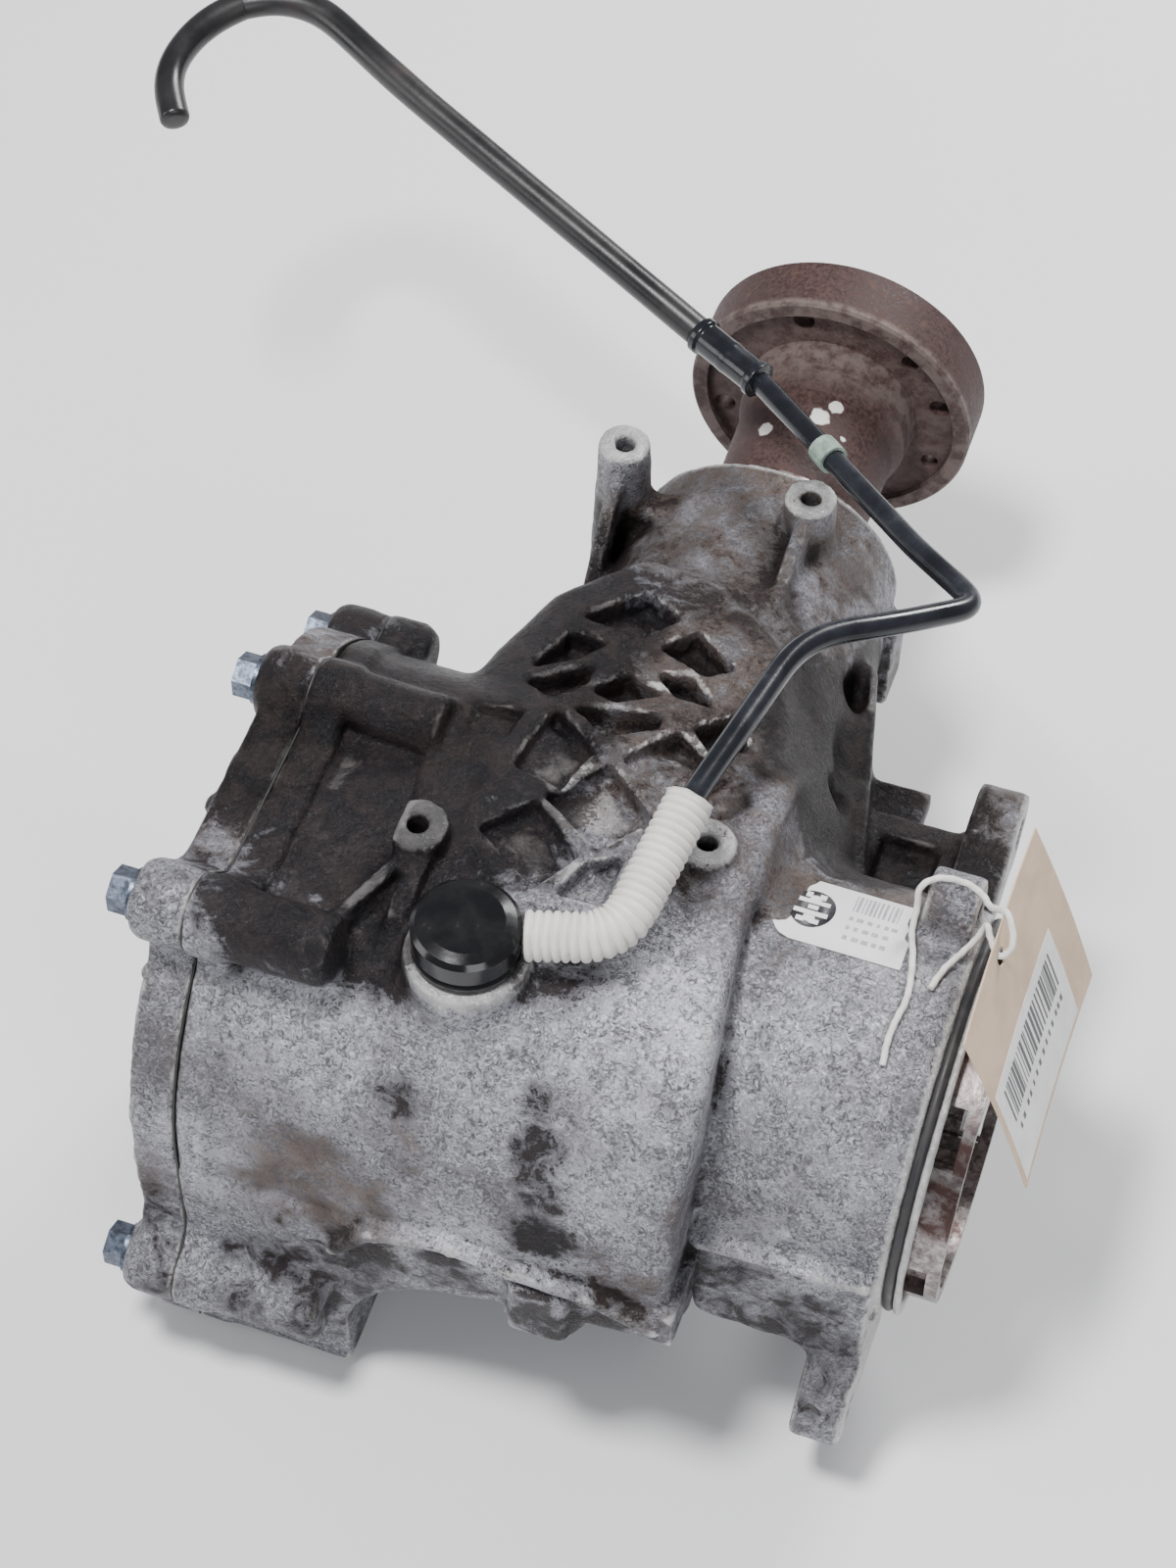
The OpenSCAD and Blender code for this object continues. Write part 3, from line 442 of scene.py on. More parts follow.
class Field:
    """A solid as signed distances on a grid."""

    def __init__(self, lo, hi, pitch):
        self.h = pitch
        self.axes = [np.arange(a, b, pitch, dtype=np.float32) for a, b in zip(lo, hi)]
        self.d = np.full([len(a) for a in self.axes], 60, np.float32)

    def window(self, lo, hi, room):
        cut = tuple(
            slice(
                max(int((l - room - a[0]) / self.h), 0),
                max(int((u + room - a[0]) / self.h) + 2, 1)
            )
            for l, u, a in zip(lo, hi, self.axes)
        )
        shape = [(-1, 1, 1), (1, -1, 1), (1, 1, -1)]
        return cut, [a[c].reshape(s) for a, c, s in zip(self.axes, cut, shape)]

    def add(self, lo, hi, shape, k=3.0):
        cut, at = self.window(lo, hi, k + 3)
        self.d[cut] = smin(self.d[cut], shape(*at), k)

    def cut(self, lo, hi, shape, k=1.2):
        cut, at = self.window(lo, hi, k + 3)
        self.d[cut] = smax(self.d[cut], -shape(*at), k)

    def sample(self, points, values):
        """Trilinear value of a grid at points in mm."""
        q = [(points[:, i] - self.axes[i][0]) / self.h for i in range(3)]
        q = [np.clip(t, 0, n - 1.001) for t, n in zip(q, values.shape)]
        i = [t.astype(int) for t in q]
        w = [t - j for t, j in zip(q, i)]
        total = 0
        for dx in (0, 1):
            for dy in (0, 1):
                for dz in (0, 1):
                    share = (w[0] if dx else 1 - w[0]) * (w[1] if dy else 1 - w[1]) * (w[2] if dz else 1 - w[2])
                    total = total + share * values[i[0] + dx, i[1] + dy, i[2] + dz]
        return total

    def surface(self):
        """Surface nets: one vertex in each cell that the surface crosses."""
        d = self.d
        inside = d < 0
        corners = [(a, b, c) for a in (0, 1) for b in (0, 1) for c in (0, 1)]
        n = [s - 1 for s in d.shape]

        def corner(g, o):
            return g[o[0]:o[0] + n[0], o[1]:o[1] + n[1], o[2]:o[2] + n[2]]

        count = sum(corner(inside, o).astype(np.int8) for o in corners)
        mixed = (count > 0) & (count < 8)
        index = np.full(mixed.shape, -1, np.int64)
        cells = np.argwhere(mixed)
        index[mixed] = np.arange(len(cells))
        value = {o: d[cells[:, 0] + o[0], cells[:, 1] + o[1], cells[:, 2] + o[2]] for o in corners}
        total, hits = np.zeros((len(cells), 3)), np.zeros(len(cells))
        for o in corners:
            for ax in range(3):
                if o[ax]:
                    continue
                p = tuple(1 if a == ax else o[a] for a in range(3))
                m = (value[o] < 0) != (value[p] < 0)
                t = value[o][m] / (value[o][m] - value[p][m])
                total[m] += np.array(o) + t[:, None] * (np.array(p) - np.array(o))
                hits[m] += 1
        verts = cells + total / hits[:, None]
        verts = verts * self.h + np.array([a[0] for a in self.axes])
        faces = []
        for ax in range(3):
            b, c = (ax + 1) % 3, (ax + 2) % 3
            lo = [slice(None)] * 3
            hi = [slice(None)] * 3
            lo[ax], hi[ax] = slice(0, -1), slice(1, None)
            a0, a1 = inside[tuple(lo)], inside[tuple(hi)]
            e = np.argwhere(a0 != a1)
            e = e[(e[:, b] > 0) & (e[:, c] > 0) & (e[:, b] < n[b]) & (e[:, c] < n[c])]
            quad = []
            for db, dc in ((1, 1), (0, 1), (0, 0), (1, 0)):
                q = e.copy()
                q[:, b] -= db
                q[:, c] -= dc
                quad.append(index[q[:, 0], q[:, 1], q[:, 2]])
            quad = np.stack(quad, 1)
            out = a0[e[:, 0], e[:, 1], e[:, 2]]
            quad[~out] = quad[~out][:, ::-1]
            faces.append(quad)
        return verts, np.concatenate(faces)


def box_blur(g, r):
    for ax in range(3):
        c = np.cumsum(
            np.pad(g, [(r + 1, r) if a == ax else (0, 0) for a in range(3)], mode="edge"), ax,
            dtype=np.float32
        )
        a = np.take(c, range(2 * r + 1, c.shape[ax]), ax)
        b = np.take(c, range(0, c.shape[ax] - 2 * r - 1), ax)
        g = (a - b) / (2 * r + 1)
    return g


def blobs(points, spots):
    """How strongly soft-edged balls (x, y, z, radius, strength) mark each point."""
    total = np.zeros(len(points))
    for x, y, z, r, s in spots:
        q = ((points - np.array((x, y, z))) ** 2).sum(1) / (r * r)
        total = np.maximum(total, s * np.exp(-q * q * 0.7))
    return total


def cast_piece(name, field, budget, oil_and_shade, tan):
    """Meshes a field, thins it to a budget of triangles, and stores what the finish reads."""
    field.d += 0.22 * lumps(field.d.shape, 11, 5) * (field.d > -3) + 0.12 * lumps(field.d.shape, 12, 2.5)
    verts, quads = field.surface()
    o = mesh_object(name, verts * MM, quads)
    share = budget / (2 * len(quads))
    if share < 1:
        m = o.modifiers.new("thin", "DECIMATE")
        m.ratio = share
        thin = bpy.data.meshes.new_from_object(o.evaluated_get(bpy.context.evaluated_depsgraph_get()))
        o.modifiers.clear()
        o.data = thin
        thin.name = name
    thin = o.data
    thin.polygons.foreach_set("use_smooth", [True] * len(thin.polygons))
    co = np.zeros(len(thin.vertices) * 3, np.float32)
    thin.vertices.foreach_get("co", co)
    points = co.reshape(-1, 3).astype(float) / MM
    fill = np.clip(0.5 - field.d / field.h, 0, 1).astype(np.float32)
    near = box_blur(box_blur(fill, 1), 1)
    far = box_blur(box_blur(fill, 3), 2)
    near, far = field.sample(points, near), field.sample(points, far)
    normals = np.zeros(len(thin.vertices) * 3, np.float32)
    thin.vertex_normals.foreach_get("vector", normals)
    normals = normals.reshape(-1, 3)
    values = {
        "worn": np.clip((0.47 - near) * 7, 0, 1),
        # painted shade: occlusion mask, 1 deep in concave hollows
        "hollow": np.clip((far - 0.53) * 4.2, 0, 1),
        "oil_and_shade": blobs(points, oil_and_shade),
        "tan": blobs(points, tan),
        "rubbed_and_lit": blobs(points, RUBBED_AND_LIT_SPOTS),
        "cut": cut_mask(points, normals),
    }
    for key, v in values.items():
        a = thin.attributes.new(key, "FLOAT", "POINT")
        a.data.foreach_set("value", v.astype(np.float32))
    thin.materials.append(CAST)
    return o


def cut_mask(p, n):
    """1 on machined faces: the spigot and gearbox face, boss tops, the breather seat and the joint."""
    x, y, z = p.T
    m = np.zeros(len(p))
    m[(x > 118.6) & (np.hypot(y, z) > 60)] = 1
    m[(np.abs(x - 118) < 0.9) & (n[:, 0] > 0.8)] = 1
    for bx, by, top, _, r in BRACKET_BOSSES:
        m[(np.hypot(x - bx, y - by) < r + 0.5) & (z > top - 1.4)] = 0.85
    m[(np.hypot(x - CAP_X, y - CAP_Y) < 21) & (z > CAP_SEAT - 5)] = 0.8
    m[(y > 203.6)] = 0.7
    return m


# Grid pitches in mm, and the triangles that each casting is thinned to
HOUSING_PITCH, COVER_PITCH = 1.55, 1.5
CASTING_TRIANGLES, COVER_TRIANGLES = 196000, 90000

# The casting's own places, in mm, as in the CAD model
COVER_BOLTS = [
    (36, 78, -61), (-62, 90, -60), (-101, -66, -55), (92, 34, -88), (72, -70, -88),
    (-12, -100, -88)
]
FACE_LUGS = [(33, 66, 12), (108, 10, 14), (-73, -74, 14), (58, -74, 13)]
BRACKET_BOSSES = [
    (-50, 184, 65, -6, 9), (18, 182, 65, 34, 9), (-54, -8, 90, 70, 9.5), (32, 19, 84, 69, 9)
]
CAP_X, CAP_Y, CAP_SEAT = -24, -46, 88
PLUGS = [(-70, 66, -71.5, 223), (-36, -30, -95.5, 180)]
POCKETS = [
    [(-30, 55), (-14, 41), (-19, 25), (-34, 29)], [(-20, 19), (-6, 36), (12, 21), (0, 7)],
    [(-36, 2), (-23, 15), (-6, 1), (-14, -13)], [(-2, 42), (9, 60), (22, 52), (13, 34)],
    [(-24, 60), (1, 66), (1, 61), (-12, 51)], [(-22, 71), (-15, 81), (-3, 77), (-14, 69)],
    [(-45, 78), (-39, 96), (-28, 94), (-35, 84)], [(-44, 69), (-28, 80), (-27, 73), (-35, 64)],
    [(-37, 107), (-21, 124), (-9, 116), (-18, 103)], [(-8, 100), (0, 111), (15, 100), (8, 93)],
    [(-4, 86), (5, 88), (13, 80), (3, 79)], [(-5, -14), (0, -2), (8, 3), (8, -13)],
    [(-54, 48), (-42, 51), (-43, 41), (-53, 39)], [(14, 66), (24, 78), (30, 66), (22, 58)],
    [(24, 36), (32, 48), (38, 40), (32, 32)],
]
WAFFLE = [
    (-42, -2), (-20, -22), (12, -20), (30, -2), (44, 30), (38, 60), (32, 90), (20, 112), (-6, 132), (-24, 134),
    (-44, 112), (-54, 82), (-60, 56), (-58, 36), (-42, 26),
]


# Places where the paint-like dirt is rubbed off, and painted highlights on the barrel top and the parting-line ridge:
# x, y, z, radius and strength
RUBBED_AND_LIT_SPOTS = [
    (36, -50, 76, 34, 0.95), (-70, -72, 62, 34, 0.5), (0, -70, 66, 30, 0.45), (82, -34, 56, 30, 0.6), (100, 8, 68, 16, 0.6),
    (96, -50, 40, 26, 0.5), (-90, -96, 0, 26, 0.6), (-36, -99, -6, 16, 1.2), (-10, -99, 0, 16, 1.2), (20, -99, -4, 14, 1.0), (90, -72, 2, 16, 1.0), (72, -72, 0, 12, 1.0),
    (18, 182, 64, 11, 0.8), (-50, 184, 64, 11, 0.8), (110, 66, 34, 20, 0.5), (-54, -8, 89, 10, 0.6), (30, -84, 44, 20, 0.5),
]
SIDE_PITS = [
    (60, 110, 34, 9, 20, 10), (66, 86, 36, 12, 6, 9), (50, 138, 24, 5, 10, 12),
]


def barrel(Y, Z, r, top, k=8.0):
    return smax(np.hypot(Y, Z) - r, Z - top, k)


def waffle_top(X, Y):
    return 84.2 - 0.24 * np.maximum(Y - 35, 0) - 0.004 * np.maximum(np.abs(X + 10) - 8, 0) ** 2


def cover_outline(Y, Z):
    d = smin(barrel(Y, Z, 97, 80.5), rect(Y, Z, -97, -79, -108, -10), 4)
    for y, z, _ in COVER_BOLTS:
        d = smin(d, tongue(Y, Z, y, z, 12.5, 1.5), 7)
    return d


def shoulder_x(Y):
    """Where the big barrel ends: a little further along at the front than on top."""
    return 51 + 7 * np.clip(-Y / 60, 0, 1)


def inner_top(Y):
    """The height of the gear space's ceiling."""
    return np.minimum(74.8, np.sqrt(np.maximum(88.0 ** 2 - Y * Y, 0)))


def cone_r(Y):
    return np.interp(Y, [20, 46, 150, 195, 210], [85.2, 79, 54, 48, 48]).astype(np.float32)


def prism(axis, flat, a, b, edge):
    """A flat shape, flat(u, v), raised between two planes across an axis, with its rims rounded."""
    def shape(*p):
        u, v = (p[i] for i in range(3) if i != axis)
        return smax(flat(u, v), slab(p[axis], a, b), edge)
    return shape


def rod(axis, r, a, b, edge, at=(0, 0)):
    return prism(axis, lambda u, v: np.hypot(u - at[0], v - at[1]) - r, a, b, edge)


def plate(axis, outline, a, b, edge):
    return prism(axis, lambda u, v: polygon(u, v, outline), a, b, edge)


def block(axis, sides, a, b, edge):
    return prism(axis, lambda u, v: rect(u, v, *sides), a, b, edge)


def web(axis, p, q, half, a, b, edge):
    return prism(axis, lambda u, v: bar(u, v, p, q, half), a, b, edge)


def make_housing():
    g = Field((-109, -118, -116), (131, 210, 106), HOUSING_PITCH)
    big = ((-105, -118, -113), (131, 118, 106))
    g.add(
        *big, lambda X, Y,
        Z: smax(smax(barrel(Y, Z, 95, 80), (X - shoulder_x(Y)) * 0.9, 7), -105 - X, 0.6), 1
    )
    g.add(*big, lambda X, Y, Z: smax(cover_outline(Y, Z), slab(X, -105, -93.5), 2.2), 1.5)
    g.add((52, -80, -80), (118, 80, 80), rod(0, 67, 30, 118, 0.8), 3.5)
    g.add(
        (-90, 15, -90), (90, 205, 90), lambda X, Y,
        Z: smax((np.hypot(X, Z) - cone_r(Y)) * 0.97, slab(Y, 15, 205), 1.5), 8
    )
    # Front walls below the parting line
    arch = [(
        50 * math.cos(math.radians(a)), -85 + 50 * math.sin(math.radians(a))
    ) for a in range(180, 90, -10)]
    wall = [(-105, -10), (-105, -108), (-50, -108)] + arch + [
        (5, -31), (5, -38), (30, -38), (34, -27), (62, -25), (62, -8)
    ]
    g.add((-105, -97, -108), (62, -40, -8), plate(1, wall, -97, -47, 2.5), 2.5)
    small = [(50, 3), (118, 3), (118, -66), (110, -62), (106, -50), (62, -48), (58, -26), (50, -26)]
    g.add((46, -70, -66), (118, -30, 3), plate(1, small, -70, -30, 2.5), 2.5)
    g.add((8, -101, -38), (28, -89, -10), block(1, (8, 28, -38, -10), -101, -85, 2.5), 2)
    # Raised lip along the parting line
    lip = [
        ((-52, -26), (-38, -8)), ((-38, -8), (-12, -1)), ((-12, -1), (8, -5)), ((8, -5), (34, -6)),
        ((34, -6), (56, -14))
    ]
    for p, q in lip:
        g.add((-56, -101, -30), (60, -90, 3), web(1, p, q, 2.6, -100.6, -85, 1.6), 1.5)
    g.add((60, -74, -4), (118, -60, 6), web(1, (62, 0), (116, 2), 2.4, -73, -50, 1.6), 1.5)
    # Long bosses behind the cover's joint
    for y, z, end in COVER_BOLTS:
        g.add((-105, y - 16, z - 16), (end, y + 16, z + 16), lambda X, Y, Z, y=y, z=z, end=end: smax(
            smin(np.hypot(Y - y, Z - z) - 11.5, tongue(Y, Z, y, z, 10, 1.4), 3), slab(X, -105, end), 4), 4.5)
    # Lugs round the gearbox face
    for y, z, r in FACE_LUGS:
        lo = (101, min(y, 0) - 20, min(z, 0) - 20)
        hi = (118, max(y, 0) + 20, max(z, 0) + 20)
        g.add(
            lo, hi, lambda X, Y, Z, y=y, z=z,
            r=r: smax(tongue(Y, Z, y, z, r, 1.3), slab(X, 101, 118), 2.2), 5
        )
    # Web from the rear lug back to the nose
    g.add(
        (66, 36, -26), (102, 110, 22),
        plate(0, [(40, -24), (108, -14), (108, 2), (70, 14), (40, 20)], 66, 101, 4), 5
    )
    g.cut((72, 50, 2), (96, 100, 22), block(2, (74, 94, 56, 96), 0, 24, 2), 3)
    g.add((40, 92, -18), (84, 128, -2), block(2, (40, 84, 92, 126), -16, -4, 3), 5)
    g.add((56, 60, -10), (74, 150, 26), web(2, (72, 62), (52, 150), 3.2, -10, 22, 2.5), 4)
    # Bracket bosses and their ribs
    for x, y, top, bottom, r in BRACKET_BOSSES:
        g.add((x - r, y - r, bottom), (x + r, y + r, top), lambda X, Y, Z, x=x, y=y, top=top, bottom=bottom, r=r: smax(
            np.hypot(X - x, Y - y) - r - (top - Z) * 0.035, slab(Z, bottom, top), 1.2), 4)
    g.add((-54, 176, -6), (-32, 190, 40), block(2, (-52, -32, 178, 190), -6, 38, 3), 4)
    ribs = [
        (-50, [(116, -6), (184, -6), (184, 60), (177, 60)], 2.7), (
            18, [(140, 30), (180, 30), (180, 61), (174, 61), (140, 54)], 2.7
        ),
        (-50, [(-50, 60), (-8, 60), (-8, 87), (-14, 87), (-40, 84)], 3.4),
    ]
    for x, outline, half in ribs:
        ys, zs = [p[0] for p in outline], [p[1] for p in outline]
        g.add(
            (x - half, min(ys), min(zs)), (x + half, max(ys), max(zs)),
            plate(0, outline, x - half, x + half, 2), 3
        )
    # Flat seats of the plugs and of the breather
    for x, y, z, tilt in PLUGS:
        s, c = math.sin(math.radians(tilt)), math.cos(math.radians(tilt))

        def seat(X, Y, Z, x=x, y=y, z=z, s=s, c=c):
            up = -(Y - y) * s + (Z - z) * c
            side = (Y - y) * c + (Z - z) * s
            return smax(np.hypot(X - x, side) - 14, slab(up, -14, 0), 1)
        g.add((x - 18, y - 22, z - 22), (x + 18, y + 22, z + 22), seat, 3)
    g.add((CAP_X - 20, CAP_Y - 20, 60), (CAP_X + 20, CAP_Y + 20, 88), lambda X, Y, Z: smax(
        np.hypot(X - CAP_X, Y - CAP_Y) - 19.5 - (CAP_SEAT - Z) * 0.06, slab(Z, 60, CAP_SEAT), 1.4), 5)
    # Small side lugs of the nose, and the boss beside the waffle
    g.add((44, 178, -34), (54, 198, 0), block(2, (40, 54, 178, 198), -34, 0, 3), 4)
    g.add(
        (-68, 100, -16), (-38, 124, 12), lambda X, Y,
        Z: smax(np.hypot(Y - 112, Z + 2) - 9.5, slab(X, -68, -36), 2.5), 4
    )
    # The stiffened top: a pad with pockets sunk between diagonal ribs
    g.add((-66, -26, 40), (48, 138, 86), lambda X, Y, Z: smax(polygon(X, Y, WAFFLE) - (84 - Z) * 0.35, smax(
        Z - waffle_top(X, Y), 38 - Z, 3), 3.5), 5)
    for outline in POCKETS:
        xs, ys = [p[0] for p in outline], [p[1] for p in outline]
        mid_y = sum(ys) / len(ys)
        deep = float(np.interp(mid_y, [-20, 40, 70, 120], [7.5, 8.0, 10.5, 10.0]))

        def pocket(X, Y, Z, outline=outline, deep=deep):
            top = waffle_top(X, Y)
            ground = np.maximum(top - deep, inner_top(Y) + 2.4)
            return smax(polygon(X, Y, outline) - 1.5 - (Z - top) * 0.15, ground - Z, 2)
        g.cut((min(xs) - 2, min(ys) - 2, 50), (max(xs) + 2, max(ys) + 2, 90), pocket, 1.3)
    # Shallow recess and slot behind the joint flange, and the hollow between the second boss and its rib
    g.cut((-93, -46, 72), (-62, 24, 92), lambda X, Y, Z: smax(polygon(X, Y, [
        (-92, -44), (-92, 26), (-64, 24), (-60, -4), (-60, -20), (-72, -47)]), 77.7 - Z, 1.5), 1.2)
    g.cut((-93, -44, 70), (-84, 28, 92), lambda X, Y, Z: smax(polygon(X, Y, [
        (-91.5, -42), (-91.5, 27), (-85.5, 26), (-88, -42)]), 77.2 - Z, 1), 0.8)
    g.add((-72, -52, 74), (-52, -16, 87), web(2, (-55, -18), (-68, -50), 2.2, 70, 86.5, 2), 2.5)
    g.cut(
        (-64, -60, 70), (-50, -28, 92), lambda X, Y,
        Z: smax(polygon(X, Y, [(-54, -28), (-53, -58), (-58, -60), (-63, -46)]), 77.3 - Z, 2), 1.5
    )
    # Pits between the webs on the right of the cone
    for x, y, z, rx, ry, rz in SIDE_PITS:
        g.cut((x - rx, y - ry, z - rz), (x + rx, y + ry, z + rz), lambda X, Y, Z, x=x, y=y, z=z, rx=rx, ry=ry, rz=rz: (np.sqrt(
            ((X - x) / rx) ** 2 + ((Y - y) / ry) ** 2 + ((Z - z) / rz) ** 2) - 1) * min(rx, ry, rz), 4)
    # A raised cast arc on the barrel, and the round mould mark beside it
    g.add((-62, -95, 20), (-30, -70, 66), lambda X, Y, Z: smax(
        np.abs(np.hypot(X + 34, Z - 40) - 17) - 1.1 + 8 * (X > -34), np.abs(np.hypot(Y, Z) - 95) - 0.9, 0.8), 1.5)
    # Hollows and bores
    g.cut((-106, -92, -92), (44, 92, 76), lambda X, Y, Z: smax(
        barrel(Y, Z, 88, 74.8, 4), slab(X, -130, 44), 3), 1)
    g.cut((60, -62, -62), (131, 62, 62), rod(0, 61, 62, 140, 2), 0.6)
    g.add((30, -52, -52), (62, 52, 52), rod(0, 52, 30, 62, 1), 1)
    g.add((-50, 77, -50), (50, 112, 50), rod(1, 50, 77, 112, 1), 1)
    g.cut((29, -46, -46), (57, 46, 46), rod(0, 45.1, 20, 56, 0.5), 0.5)
    g.cut((29, -42, -42), (64, 42, 42), rod(0, 40.2, 20, 66, 0.5), 0.5)
    g.cut((-44, 60, -44), (44, 104, 44), rod(1, 42.1, 60, 103, 0.5), 0.5)
    g.cut((-34, 76, -34), (34, 160, 34), rod(1, 31, 70, 152, 0.5), 0.5)
    g.cut((-38, 149, -38), (38, 210, 38), rod(1, 36.1, 150, 212, 0.5), 0.5)
    # The machined spigot with its groove
    g.add((116, -67, -67), (127, 67, 67), lambda X, Y, Z: smax(smax(
        np.hypot(Y, Z) - 66, 61 - np.hypot(Y, Z), 0.8), slab(X, 110, 127), 1), 0.8)
    g.cut(
        (119, -70, -70), (126, 70, 70), lambda X, Y,
        Z: smax(62.6 - np.hypot(Y, Z), slab(X, 120.8, 124.7), 0.4), 0.5
    )
    for x, y, top, _, _ in BRACKET_BOSSES:
        g.cut(
            (x - 4, y - 4, top - 12), (x + 4, y + 4, top + 2),
            rod(2, 3.6, top - 12, top + 4, 0.5, (x, y)), 0.8
        )
    for y, z, _ in FACE_LUGS:
        g.cut((90, y - 6, z - 6), (119, y + 6, z + 6), rod(0, 5.6, 60, 130, 0.5, (y, z)), 0.8)
    for y, z, _ in COVER_BOLTS:
        g.cut((-106, y - 5, z - 5), (-90, y + 5, z + 5), rod(0, 3.6, -108, -91, 0.5, (y, z)), 0.5)
    for x, y, z, tilt in PLUGS:
        s, c = math.sin(math.radians(tilt)), math.cos(math.radians(tilt))

        def hole(X, Y, Z, x=x, y=y, z=z, s=s, c=c):
            up = -(Y - y) * s + (Z - z) * c
            side = (Y - y) * c + (Z - z) * s
            return smax(np.hypot(X - x, side) - 9.1, slab(up, -20, 4), 0.5)
        g.cut((x - 10, y - 20, z - 20), (x + 10, y + 20, z + 20), hole, 0.5)
    # Oil stains, partly painted shade: the blobs in the recess right of the cone, on the lower front wall under the
    # parting line and under the casing
    oil_and_shade = [
        (-78, -4, 80, 36, 1.0), (-50, 44, 78, 40, 1.0), (-34, 8, 82, 30, 0.85), (-52, 88, 64, 40, 1.1), (-36, 112, 62, 28, 0.8),
        (-50, -40, 80, 22, 1.1), (-2, -40, 83, 17, 0.62), (-72, 66, 56, 50, 1.0), (60, 98, 24, 46, 1.05), (86, 70, 16, 36, 0.95),
        (60, 66, 44, 22, 0.9), (56, 86, 48, 34, 1.15), (44, 112, 42, 24, 0.85), (72, 56, 50, 20, 0.85), (8, -74, 60, 7, 0.42), (12, -83, 47, 9, 0.55), (16, -90, 32, 9, 0.55), (18, -95, 14, 11, 0.68), (-34, -82, 52, 10, 0.42),
        (-84, -52, 94, 24, 0.95), (-66, -56, 96, 20, 1.1), (-10, 124, 52, 22, 0.45), (-50, -97, -60, 50, 0.36), (30, -97, -24, 28, 0.5),
        (80, -70, -40, 42, 0.4), (0, 100, -40, 110, 0.6), (0, -20, -96, 90, 0.5), (-62, 150, 20, 36, 0.6), (64, 150, 4, 40, 0.7),
        (-96, 16, 82, 34, 1.0), (-84, -97, -70, 24, 0.3), (-44, -98, -22, 14, 0.45), (-14, -98, -16, 14, 0.5), (40, -98, -20, 16, 0.4), (110, 62, 12, 30, 0.5), (-98, 62, 60, 40, 0.7), (22, 64, 72, 30, 0.42), (14, 20, 80, 26, 0.35),
    ]
    tan = [
        (0, 175, 30, 60, 1.0), (10, 84, 70, 50, 1.2), (20, 40, 80, 34, 1.0), (70, 36, 60, 34, 0.6), (-55, -95, 3, 30, 1.0),
        (-34, -90, 32, 15, 0.7), (-100, 30, 84, 40, 0.8), (60, 60, 40, 60, 1.1), (-60, 36, 84, 30, 0.8), (60, 120, 10, 70, 1.1),
        (96, 34, 60, 20, 0.6), (62, -80, 30, 18, 0.5), (0, 60, -60, 90, 0.8), (-80, -90, 20, 24, 0.4), (44, -98, -4, 20, 0.7),
    ]
    return cast_piece("casting", g, CASTING_TRIANGLES, oil_and_shade, tan)


def make_cover():
    g = Field((-130, -118, -114), (-75, 118, 108), COVER_PITCH)
    whole = ((-122, -118, -113), (-105, 118, 106))
    g.add(*whole, lambda X, Y, Z: smax(cover_outline(Y, Z), slab(X, -121, -105.6), 1.8), 0.5)
    g.cut(
        (-114, -90, -90), (-104, 90, 75), lambda X, Y,
        Z: smax(barrel(Y, Z, 82, 66, 4), slab(X, -113, -90), 2), 1
    )
    for y, z, _ in COVER_BOLTS:
        g.add((-124, y - 12, z - 12), (-112, y + 12, z + 12), lambda X, Y, Z, y=y, z=z: smax(
            np.hypot(Y - y, Z - z) - 11.5 - (X + 124) * 0.05, slab(X, -124, -112), 1.2), 3)
    g.add((-125, -53, -53), (-80, 53, 53), rod(0, 53, -125, -80, 1.5), 3)
    for a in range(20, 341, 40):
        c, s = math.cos(math.radians(a)), math.sin(math.radians(a))
        g.add((-124, -92, -92), (-119, 92, 92), lambda X, Y, Z, c=c, s=s: smax(
            smax(bar(Y, Z, (48 * c, 48 * s), (88 * c, 88 * s), 2.8), Z - 77, 1), slab(X, -124, -118), 1.5), 3)
    g.cut((-127, -37, -37), (-79, 37, 37), rod(0, 36.1, -130, -70, 0.5), 0.8)
    g.cut((-105, -46, -46), (-79, 46, 46), rod(0, 45.1, -104, -70, 0.5), 0.5)
    for y, z, _ in COVER_BOLTS:
        g.cut((-128, y - 6, z - 6), (-104, y + 6, z + 6), rod(0, 4.3, -130, -100, 0.5, (y, z)), 0.5)
    oil_and_shade = [
        (-114, 8, 84, 34, 0.95), (-114, -94, -60, 40, 0.3), (-114, 70, 20, 50, 0.8), (-112, 70, -70, 60, 0.6),
        (-124, 0, 0, 50, 0.35), (-114, -44, 92, 20, 0.45),
    ]
    tan = [
        (-114, 10, 84, 50, 1.1), (-114, 60, 70, 30, 0.7), (-122, 0, 0, 90, 0.5),
        (-116, -96, -10, 24, 0.5)
    ]
    return cast_piece("cover_casting", g, COVER_TRIANGLES, oil_and_shade, tan)


casting = make_housing()
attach(casting, "casing")
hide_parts("main_housing")
cover = make_cover()
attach(cover, "casing")
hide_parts("side_cover")

# ---------------------------------------------------------------- tubes


def rounded(points, bends, steps=10):
    """The CAD model's path: straight runs with each corner rounded over the distance in bends."""
    pts = [np.array(p, float) for p in points]
    out = [pts[0]]
    for i, bend in enumerate(bends, 1):
        a, b = pts[i - 1] - pts[i], pts[i + 1] - pts[i]
        p = pts[i] + a / np.linalg.norm(a) * bend
        q = pts[i] + b / np.linalg.norm(b) * bend
        for k in range(steps + 1):
            t = k / steps
            out.append(p * (1 - t) ** 2 + pts[i] * 2 * t * (1 - t) + q * t * t)
    return np.array(out + [pts[-1]])


def spaced(path, n):
    d = np.concatenate([[0], np.cumsum(np.linalg.norm(np.diff(path, axis=0), axis=1))])
    t = np.linspace(0, d[-1], n + 1)
    return np.stack([np.interp(t, d, path[:, i]) for i in range(3)], 1)


def softened(path, rounds):
    for _ in range(rounds):
        path[1:-1] = path[1:-1] * 0.5 + (path[:-2] + path[2:]) * 0.25
    return path


